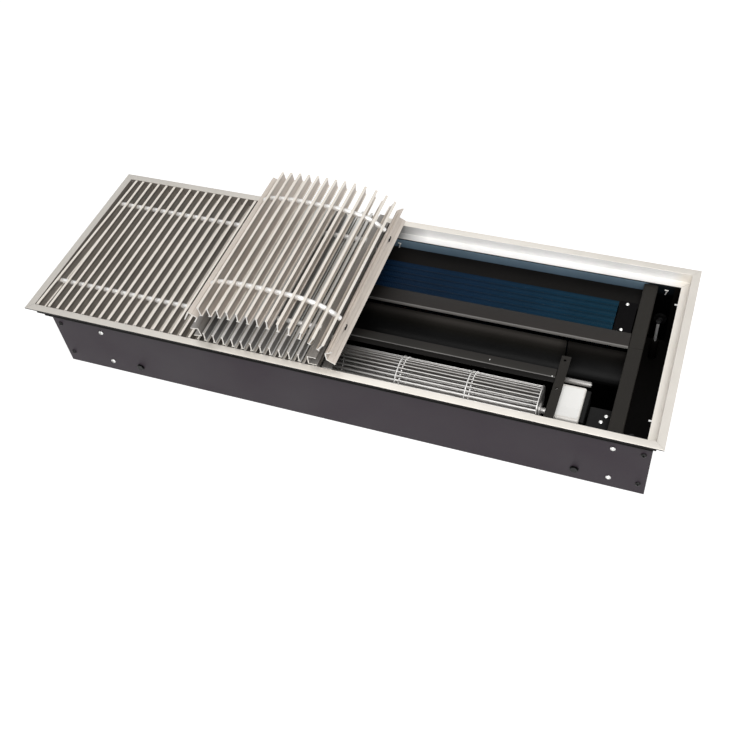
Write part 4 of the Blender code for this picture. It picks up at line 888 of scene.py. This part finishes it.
def guide_curve(first):
    """The guide's section from one of its steps to the last."""
    curve = []
    for index in range(first, GUIDE_STEPS + 1):
        part = index / GUIDE_STEPS
        drop = max(math.sin(math.pi * part), 0) ** 0.7 * 36
        curve.append((GUIDE_FRONT + GUIDE_DEPTH * part, RIM - 8 * part - drop))
    return curve


# Exchanger


def build_exchanger():
    top, bottom = [], []
    for index in range(41):
        part = index / 40
        wave = 1 - math.cos(math.tau * 5 * part)
        y = FIN_FRONT + 0.3 + (FIN_BACK - FIN_FRONT - 0.6) * part
        top.append((y, FIN_TOP - wave))
        bottom.append((y, FIN_BOTTOM + wave))
    plate = flat_face(top + bottom[::-1], "yz")
    lip = flat_face([*top, *[(y, z - 0.3) for y, z in top[::-1]]], "yz")
    count = int((FIN_RIGHT - FIN_LEFT) / FIN_PITCH)
    starts = still([(FIN_LEFT + 0.4 + FIN_PITCH * index, 0, 0) for index in range(count)])
    for name, face, length in (("fin_plates", plate, 0.35), ("fin_lips", lip, 2.2)):
        grown(name, EXTRUSIONS, length, face, starts, FINS, ["exchanger_fins"])
    run = piece("exchanger_tube_run", COPPER, [tube(tube_path(), 6, 6)],
                ["exchanger_tube"])
    paint(run, BLACK, lambda middle, normal: middle.x > 700)
    build_brackets()
    build_fittings()


def tube_path():
    right = FIN_RIGHT + SHEET + GAP
    left = FIN_LEFT - SHEET - GAP
    turns = [math.pi * index / 14 for index in range(15)]
    front, back = TUBE_YS
    upper, lower = TUBE_ZS
    middle_z, middle_y = (upper + lower) / 2, (front + back) / 2
    rise, across = (upper - lower) / 2, (back - front) / 2
    points = [(62, front, lower)]
    points += [(right + rise * math.sin(a), front, middle_z - rise * math.cos(a)) for a in turns]
    points += [(left - across * math.sin(a), middle_y - across * math.cos(a), upper) for a in turns]
    points += [(right + rise * math.sin(a), back, middle_z + rise * math.cos(a)) for a in turns]
    return points + [(62, back, lower)]


def build_brackets():
    top = BRACKET_TOP
    outline = sheet_outline([(22, top), (0, top), (0, FOOT), (14, FOOT)], SHEET, BEND)
    bracket = extruded(outline, FIN_FRONT, FIN_BACK, "y")
    holes = [rod((y, z), TUBE_HOLE, -4, 6, "x", 32) for y in TUBE_YS for z in TUBE_ZS]
    bracket = eased(cut(bracket, holes), EDGE)
    for side, place in (
        ("left", at(FIN_LEFT - GAP, 0, 0) @ MIRROR),
        ("right", at(FIN_RIGHT + GAP, 0, 0)),
    ):
        piece(f"bracket_{side}_sheet", BRACKET, [moved(bracket.copy(), place)],
              [f"exchanger_bracket_{side}"])
    spots = [(x, y, top) for x in (FIN_LEFT - 10, FIN_RIGHT + 10) for y in (181.7, 226.2)]
    grown("bracket_screws", COPIES, 1.0, pan_head(2.4, 1.6), still(spots), ZINC)


def build_fittings():
    ring = eased(extruded(circle((0, 0), 10, 8, math.pi / 8), -24, 0, "z"), 0.5)
    bore = turned([(0, -12), (6.6, -12), (7, -12.4), (7, -26), (0, -26)], 40)
    grooves = [
        turned([(9, z), (11, z), (11, z + 1.4), (9, z + 1.4)], 40, looped=True) for z in (-9, -17)
    ]
    union = cut(ring, [bore, *grooves])
    for name, y in zip(("supply_union", "return_union"), TUBE_YS):
        place = at(61.7, y, TUBE_ZS[1]) @ TO_RIGHT
        piece(f"{name}_fitting", BRASS, [moved(union.copy(), place)], [name])
    body = eased(rod(VENT_PLACE, 4.5, -58.46, -48.46, "z", 6), 0.35)
    body = cut(body, [rod(VENT_PLACE, 2.1, -53.8, -40, "z")])
    piece("air_vent_fitting", BRASS, [body], ["air_vent_body"])
    screw = turned(
        [(0, 3), (3.2, 3), (3.6, 2.6), (3.6, 0), (1.8, 0), (1.8, -4.8), (1.5, -5), (0, -5)]
    )
    screw = cut(screw, [block((-5, -0.4, 1.6), (5, 0.4, 5))])
    piece("air_vent_slotted_screw", ZINC,
          [moved(screw, at(*VENT_PLACE, -48.16))], ["air_vent_screw"], "vent_screw")


# Tangential fan


def build_rotor():
    slot, body = "fan_rotor", "fan_rotor_body"
    path = [(23.5, 0), (27.5, 0.5), (29, 1.1), (29.4, 2.7)]
    section = flat_face(sheet_outline(path, 0.5), "yz")
    angles = [math.tau * index / BLADES for index in range(BLADES)]
    places = [((ROTOR_LEFT + 0.6, *FAN_MIDDLE), (angle, 0, 0), (1, 1, 1)) for angle in angles]
    blades = grown("rotor_blades", EXTRUSIONS, ROTOR_LENGTH - 1.2, section, places,
                   ROTOR, ["fan_rotor"], body)
    # The blades' inner radial part gets painted shade, leaving their outer edges light.
    paint(blades, BLADE_SHADE,
          lambda middle, normal: math.hypot(middle.y - FAN_Y, middle.z - FAN_Z) < 28.6)
    hoop = turned(
        [(25.8, 0.2), (26, 0), (31, 0), (31.2, 0.2), (31.2, 1), (31, 1.2), (26, 1.2), (25.8, 1)],
        64, looped=True,
    )
    tab = block((5.2, 28.6, -1), (6.6, 30.4, 1.0), 0.2)
    for index in range(1, 6):
        place = at(ROTOR_LEFT + index * ROTOR_SECTION - 0.6, *FAN_MIDDLE)
        shapes = [moved(hoop.copy(), place @ TO_RIGHT)]
        for angle in angles:
            shapes.append(moved(tab.copy(), place @ Matrix.Rotation(angle, 4, "X")))
        piece(f"rotor_hoop_{index}", HOOPS, shapes, [f"fan_ring_{index}"], body)
    ends = []
    for x, facing, reach in (
        (ROTOR_LEFT, TO_LEFT, 10.5),
        (ROTOR_LEFT + ROTOR_LENGTH, TO_RIGHT, 12.2),
    ):
        disc = turned([
            (0, reach), (3.7, reach), (4, reach - 0.3), (4, 1.6), (9, 1.6), (9.4, 1.2), (9.4, 0),
            (30, 0), (30.3, -0.3), (30.3, -1.2), (0, -1.2),
        ], 64)
        ends.append(moved(disc, at(x, *FAN_MIDDLE) @ facing))
    piece("rotor_end_discs", ROTOR, ends, ["fan_rotor"], body)


# Motor and terminal box


def build_motor():
    body = block((MOTOR_LEFT, 34, -80), (732.5, 86.5, -28), 2.4, 4)
    piece("motor_housing", MOTOR, [body], ["motor_body"])
    cap = block((732.8, 36, -78), (738.3, 84.5, -30), 1.2, 3)
    piece("motor_cap", PLASTIC, [cap], ["motor_end_cap"])
    can = turned(
        [(0, 40.7), (2.8, 40.7), (3.4, 40.1), (3.4, 1.6), (3.1, 1.2), (3.4, 0.8), (3.2, 0), (0, 0)]
    )
    piece("capacitor", CAPACITOR,
          [moved(can, at(MOTOR_LEFT, 93.5, -30) @ TO_RIGHT)], ["motor_capacitor"])
    eyelet = turned([(0.9, -0.8), (2.1, -0.8), (2.1, 0.8), (0.9, 0.8)], 24, looped=True)
    piece("capacitor_eyelet", ZINC, [moved(eyelet, at(734.5, 92.5, -29))])
    label = eased(block((697, 38, -27.9), (730.5, 82.5, -27.7)), 0.05)
    piece("motor_bare_label", LABEL, [label])
    left, right, front, back, top = 741, 766.7, 20, 66, -35
    box = block((left, front, -90), (right, back, -39), 1.0, 3)
    lid = block((left, front, -38.7), (right, back, top), 0.8, 3)
    piece("terminal_box_shell", PLASTIC, [box], ["terminal_box"])
    piece("terminal_box_cover", PLASTIC, [lid], ["terminal_box_lid"])
    spots = still([(757, 46.5, top), (761.5, 56, top)])
    grown("terminal_screws", COPIES, 1.0, pan_head(2.4, 0.8), spots, ZINC)
    build_gland()


def build_gland():
    collar = turned([
        (4, 6.6), (4.4, 7), (5.4, 7), (5.8, 6.6), (8, 5.6), (8, 0.3), (5.8, 0.3), (5.8, -1.8),
        (8, -1.8), (8, -5.8), (4, -5.8),
    ], 40, looped=True)
    turns = [Matrix.Rotation(math.tau * index / 18, 4, "Z") for index in range(18)]
    ribs = [moved(block((7.4, -0.4, 0.8), (8.0, 0.4, 5.2)), turn) for turn in turns]
    place = at(GLAND_PLACE[0], CASING_BACK, GLAND_PLACE[1]) @ TO_BACK
    piece("cable_gland_collar", PLASTIC,
          [moved(solid, place) for solid in [collar, *ribs]], ["cable_gland"])


# Grille


def slat_section():
    """The slat's I section about its middle, with rounded corners."""
    half, foot, web, top = 1.8, 2.5, 0.8, SLAT_HEIGHT / 2
    under = top - 0.9
    right = [
        (half, top), (half, under), (web, under - 0.9), (web, NECK), (web, -under + 0.9),
        (foot, -under), (foot, -top),
    ]
    return rounded(right + [(-x, z) for x, z in reversed(right)], 0.4, steps=2)


def profile_section(top, bottom):
    path = [(-bottom, -SLAT_HEIGHT), (0, -SLAT_HEIGHT), (0, 0), (-top, 0)]
    return rounded(sheet_outline(path, PROFILE_WALL), 0.5, steps=2)


def tilted(x, z, angle=0.0):
    return at(x, 0, z) @ Matrix.Rotation(angle, 4, "Y")


def is_web(middle, normal, places, low=1.5 - SLAT_HEIGHT / 2):
    """Tells whether a face of a slat lies between its flanges, above a height from its middle."""
    x, z, angle = min(places, key=lambda spot: math.hypot(spot[0] - middle.x, spot[1] - middle.z))
    height = (middle.x - x) * math.sin(angle) + (middle.z - z) * math.cos(angle)
    return low < height < SLAT_HEIGHT / 2 - 1.5 and abs(normal.y) < 0.5


def build_slats(name, places, ends, finishes, extra=()):
    """Slats at (x, z, angle), with sleeves between them and from the first end points to the last.

    The finishes are those of the tops, the webs with painted shade, and the webs' upper part with
    more painted shade.
    """
    tops, webs, necks = finishes
    body, node = f"{name}_grille", f"grille_{name}"
    section = flat_face(slat_section(), "xz")
    rows = [((x, SLAT_FRONT, z), (0, angle, 0), (1, 1, 1)) for x, z, angle in places]
    made = grown(f"{name}_slats", EXTRUSIONS, SLAT_LENGTH, section, [*rows, *extra],
                 tops, [node], body)
    # Webs get painted shade, their upper part more of it; the ends get the light sawn finish.
    paint(made, webs, lambda middle, normal: is_web(middle, normal, places))
    paint(made, necks, lambda middle, normal: is_web(middle, normal, places, NECK))
    paint(made, SLAT_ENDS, lambda middle, normal: abs(normal.y) > 0.9)
    sleeves, cores = [], []
    for y, (first, last) in zip(SPRING_YS, ends):
        stops = [*first, *[(x, z) for x, z, _ in places], last]
        for (x0, z0), (x1, z1) in zip(stops, stops[1:]):
            lean = math.atan2(x1 - x0, z1 - z0)
            sleeves.append(((x0, y, z0), (0, lean, 0), (1, 1, math.hypot(x1 - x0, z1 - z0))))
        cores.append(tube([(x, y, z) for x, z in stops], 1.9, 2))
    sleeve = turned([(0, 0.04), (2.9, 0.04), (3.3, 0.08), (3.3, 0.92), (2.9, 0.96), (0, 0.96)], 16)
    grown(f"{name}_sleeves", COPIES, 1.0, sleeve, sleeves, SLEEVES, [node], body)
    piece(f"{name}_springs", ZINC, cores, [node], body)


def build_profile(section, side, outline, place, hooks=(), ribs=(), material=PROFILES):
    """An end profile: its channel, fine ribs drawn along it at (x, z), and the springs' hooks."""
    name, body = f"{section}_profile_{side}", f"{section}_grille"
    outlines = [outline, *[circle(rib, 0.5, 8) for rib in ribs]]
    back = SLAT_FRONT + SLAT_LENGTH
    shapes = [moved(extruded(shape, SLAT_FRONT, back, "y"), place) for shape in outlines]
    made = piece(f"{name}_channel", material, shapes, [f"grille_{name}"], body)
    paint(made, SLAT_ENDS, lambda middle, normal: abs(normal.y) > 0.9)
    wires = []
    for (foot_x, foot_z), (tip_x, tip_z) in hooks:
        for y in SPRING_YS:
            left, right = y - 2.5, y + 2.5
            wires.append(tube([(foot_x, left, foot_z), (tip_x, left, tip_z),
                               (tip_x, right, tip_z), (foot_x, right, foot_z)], 0.8))
    if wires:
        piece(f"{name}_hooks", DARK_SCREW, wires, [f"grille_{name}"], body)


def build_lying():
    """The stretch in the frame, with a first slat that lies askew."""
    middle = -SLAT_HEIGHT / 2
    places = [(31.5 + 13.18 * index, middle, 0) for index in range(30)]
    first_x, skew = 16.8, math.radians(1.5)
    front = (first_x - (FRAME_WIDTH / 2 - SLAT_FRONT) * math.sin(skew), SLAT_FRONT, middle)
    ends = []
    for y in SPRING_YS:
        slat_x = first_x + (y - FRAME_WIDTH / 2) * math.tan(skew)
        ends.append(([(slat_x - 1.9, middle), (slat_x, middle)], (424.7, middle)))
    build_slats("lying", places, ends, (SLATS, SLAT_WEBS, SLAT_NECKS),
                [(front, (0, 0, -skew), (1, 1, 1))])
    build_profile("lying", "right", profile_section(12, 5), tilted(425, 0) @ MIRROR,
                  [((428.3, -0.75), (428.3, 14.2))], material=LOW_PROFILE)


def build_upper():
    middle = SLAT_HEIGHT / 2 + GAP
    places = [(266.6 + 12.87 * index, middle, 0) for index in range(11)]
    build_slats("upper", places, [([(264, middle)], (406.7, middle))] * 2,
                (STACK_SLATS, STACK_WEBS, STACK_WEBS))
    plain = profile_section(12, 12)
    build_profile("upper", "left", plain, tilted(261.2, 22, math.radians(-10)),
                  [((259.7, 21.25), (259.7, 31.1))], material=STACK_PROFILES)
    build_profile("upper", "right", plain, tilted(407, 14.3) @ MIRROR,
                  [((407.75, middle), (413, middle))], material=STACK_PROFILES)


def build_arched():
    places = []
    for index, (x, z) in enumerate(ARCH_MIDDLES):
        before = ARCH_MIDDLES[max(index - 1, 0)]
        after = ARCH_MIDDLES[min(index + 1, len(ARCH_MIDDLES) - 1)]
        places.append((x, z, -math.atan2(after[1] - before[1], after[0] - before[0])))
    build_slats("arched", places, [([(260.1, 48.2)], (432.4, 30.5))] * 2,
                (SLATS, ARCH_WEBS, SLAT_WEBS))
    build_profile("arched", "left", profile_section(18, 12),
                  tilted(253.6, 49.6, math.radians(-60)), ribs=[(-4, 0.1), (-9, 0.1), (0, -5)])
    path = [(441.8, 32), (431.8, 26), (432.8, 14.9), (443.4, 9)]
    right = rounded(sheet_outline(path, PROFILE_WALL), 0.4, steps=2)
    hooks = [((433.5, 22), (438.6, 19)), ((438.6, 19), (437.6, 15.5))]
    build_profile("arched", "right", right, Matrix(), hooks,
                  [(435.2, 28.2), (439.5, 30.7), (440.2, 12.6)])


# Stage, light and camera


def build_stage():
    mesh = bpy.data.meshes.new("floor")
    solid = bmesh.new()
    bmesh.ops.create_grid(solid, x_segments=1, y_segments=1, size=6)
    solid.to_mesh(mesh)
    floor = shown("floor", mesh)
    floor.location.z = -0.0005
    material = bpy.data.materials.new("pale_floor")
    material.use_nodes = True
    tree = material.node_tree
    glow = add(tree, "ShaderNodeMath", {0: seen_rays(tree), 1: 0.8}, operation="MULTIPLY")
    fill(tree, tree.nodes["Principled BSDF"], {
        "Base Color": rgba(0.5), "Roughness": 0.9, "Specular IOR Level": 0.0,
        "Emission Color": rgba(1), "Emission Strength": glow.outputs[0],
    })
    mesh.materials.append(material)


def seen_rays(tree):
    """One for the rays by which the backdrop is seen, directly, in metal or through glass."""
    rays = add(tree, "ShaderNodeLightPath").outputs
    value = rays["Is Camera Ray"]
    for kind in ("Is Glossy Ray", "Is Transmission Ray"):
        either = add(tree, "ShaderNodeMath", {0: value, 1: rays[kind]}, operation="MAXIMUM")
        value = either.outputs[0]
    return value


def build_world():
    world = bpy.data.worlds.new("studio")
    bpy.context.scene.world = world
    world.use_nodes = True
    tree = world.node_tree
    seen = fill(tree, tree.nodes["Background"], {"Color": rgba(1), "Strength": 1.0})
    lit = add(tree, "ShaderNodeBackground", {"Color": rgba(1), "Strength": 0.28})
    inputs = {"Fac": seen_rays(tree), 1: lit.outputs[0], 2: seen.outputs[0]}
    mix = add(tree, "ShaderNodeMixShader", inputs)
    fill(tree, tree.nodes["World Output"], {"Surface": mix.outputs[0]})


def add_lamp(name, place, target, size, power):
    lamp = bpy.data.lights.new(name, "AREA")
    lamp.shape = "RECTANGLE"
    lamp.size, lamp.size_y = size
    lamp.energy = power
    holder = shown(name, lamp)
    holder.location = place
    holder.rotation_mode = "QUATERNION"
    holder.rotation_quaternion = (Vector(target) - Vector(place)).to_track_quat("-Z", "Y")


def build_camera():
    camera = bpy.data.cameras.new("photo_camera")
    camera.lens = CAMERA_LENS
    camera.sensor_width = 36
    holder = shown("photo_camera", camera)
    turn = Matrix((CAMERA_RIGHT, CAMERA_UP, CAMERA_BACK)).transposed()
    holder.matrix_world = Matrix.Translation(CAMERA_PLACE) @ turn.to_4x4()
    bpy.context.scene.camera = holder


build_trim()
build_casing()
build_partitions()
build_strips()
build_supports()
build_fan_sheets()
build_clips()
build_exchanger()
build_rotor()
build_motor()
build_lying()
build_upper()
build_arched()

build_stage()
build_world()
add_lamp("overhead", (0.7, -0.9, 2.2), (0, 0, 0), (2.2, 1.6), 40)
add_lamp("front_fill", (0.6, -2.3, 1.2), (0, 0, 0.05), (2.0, 1.4), 12)
build_camera()
bpy.context.scene.view_settings.view_transform = "Standard"
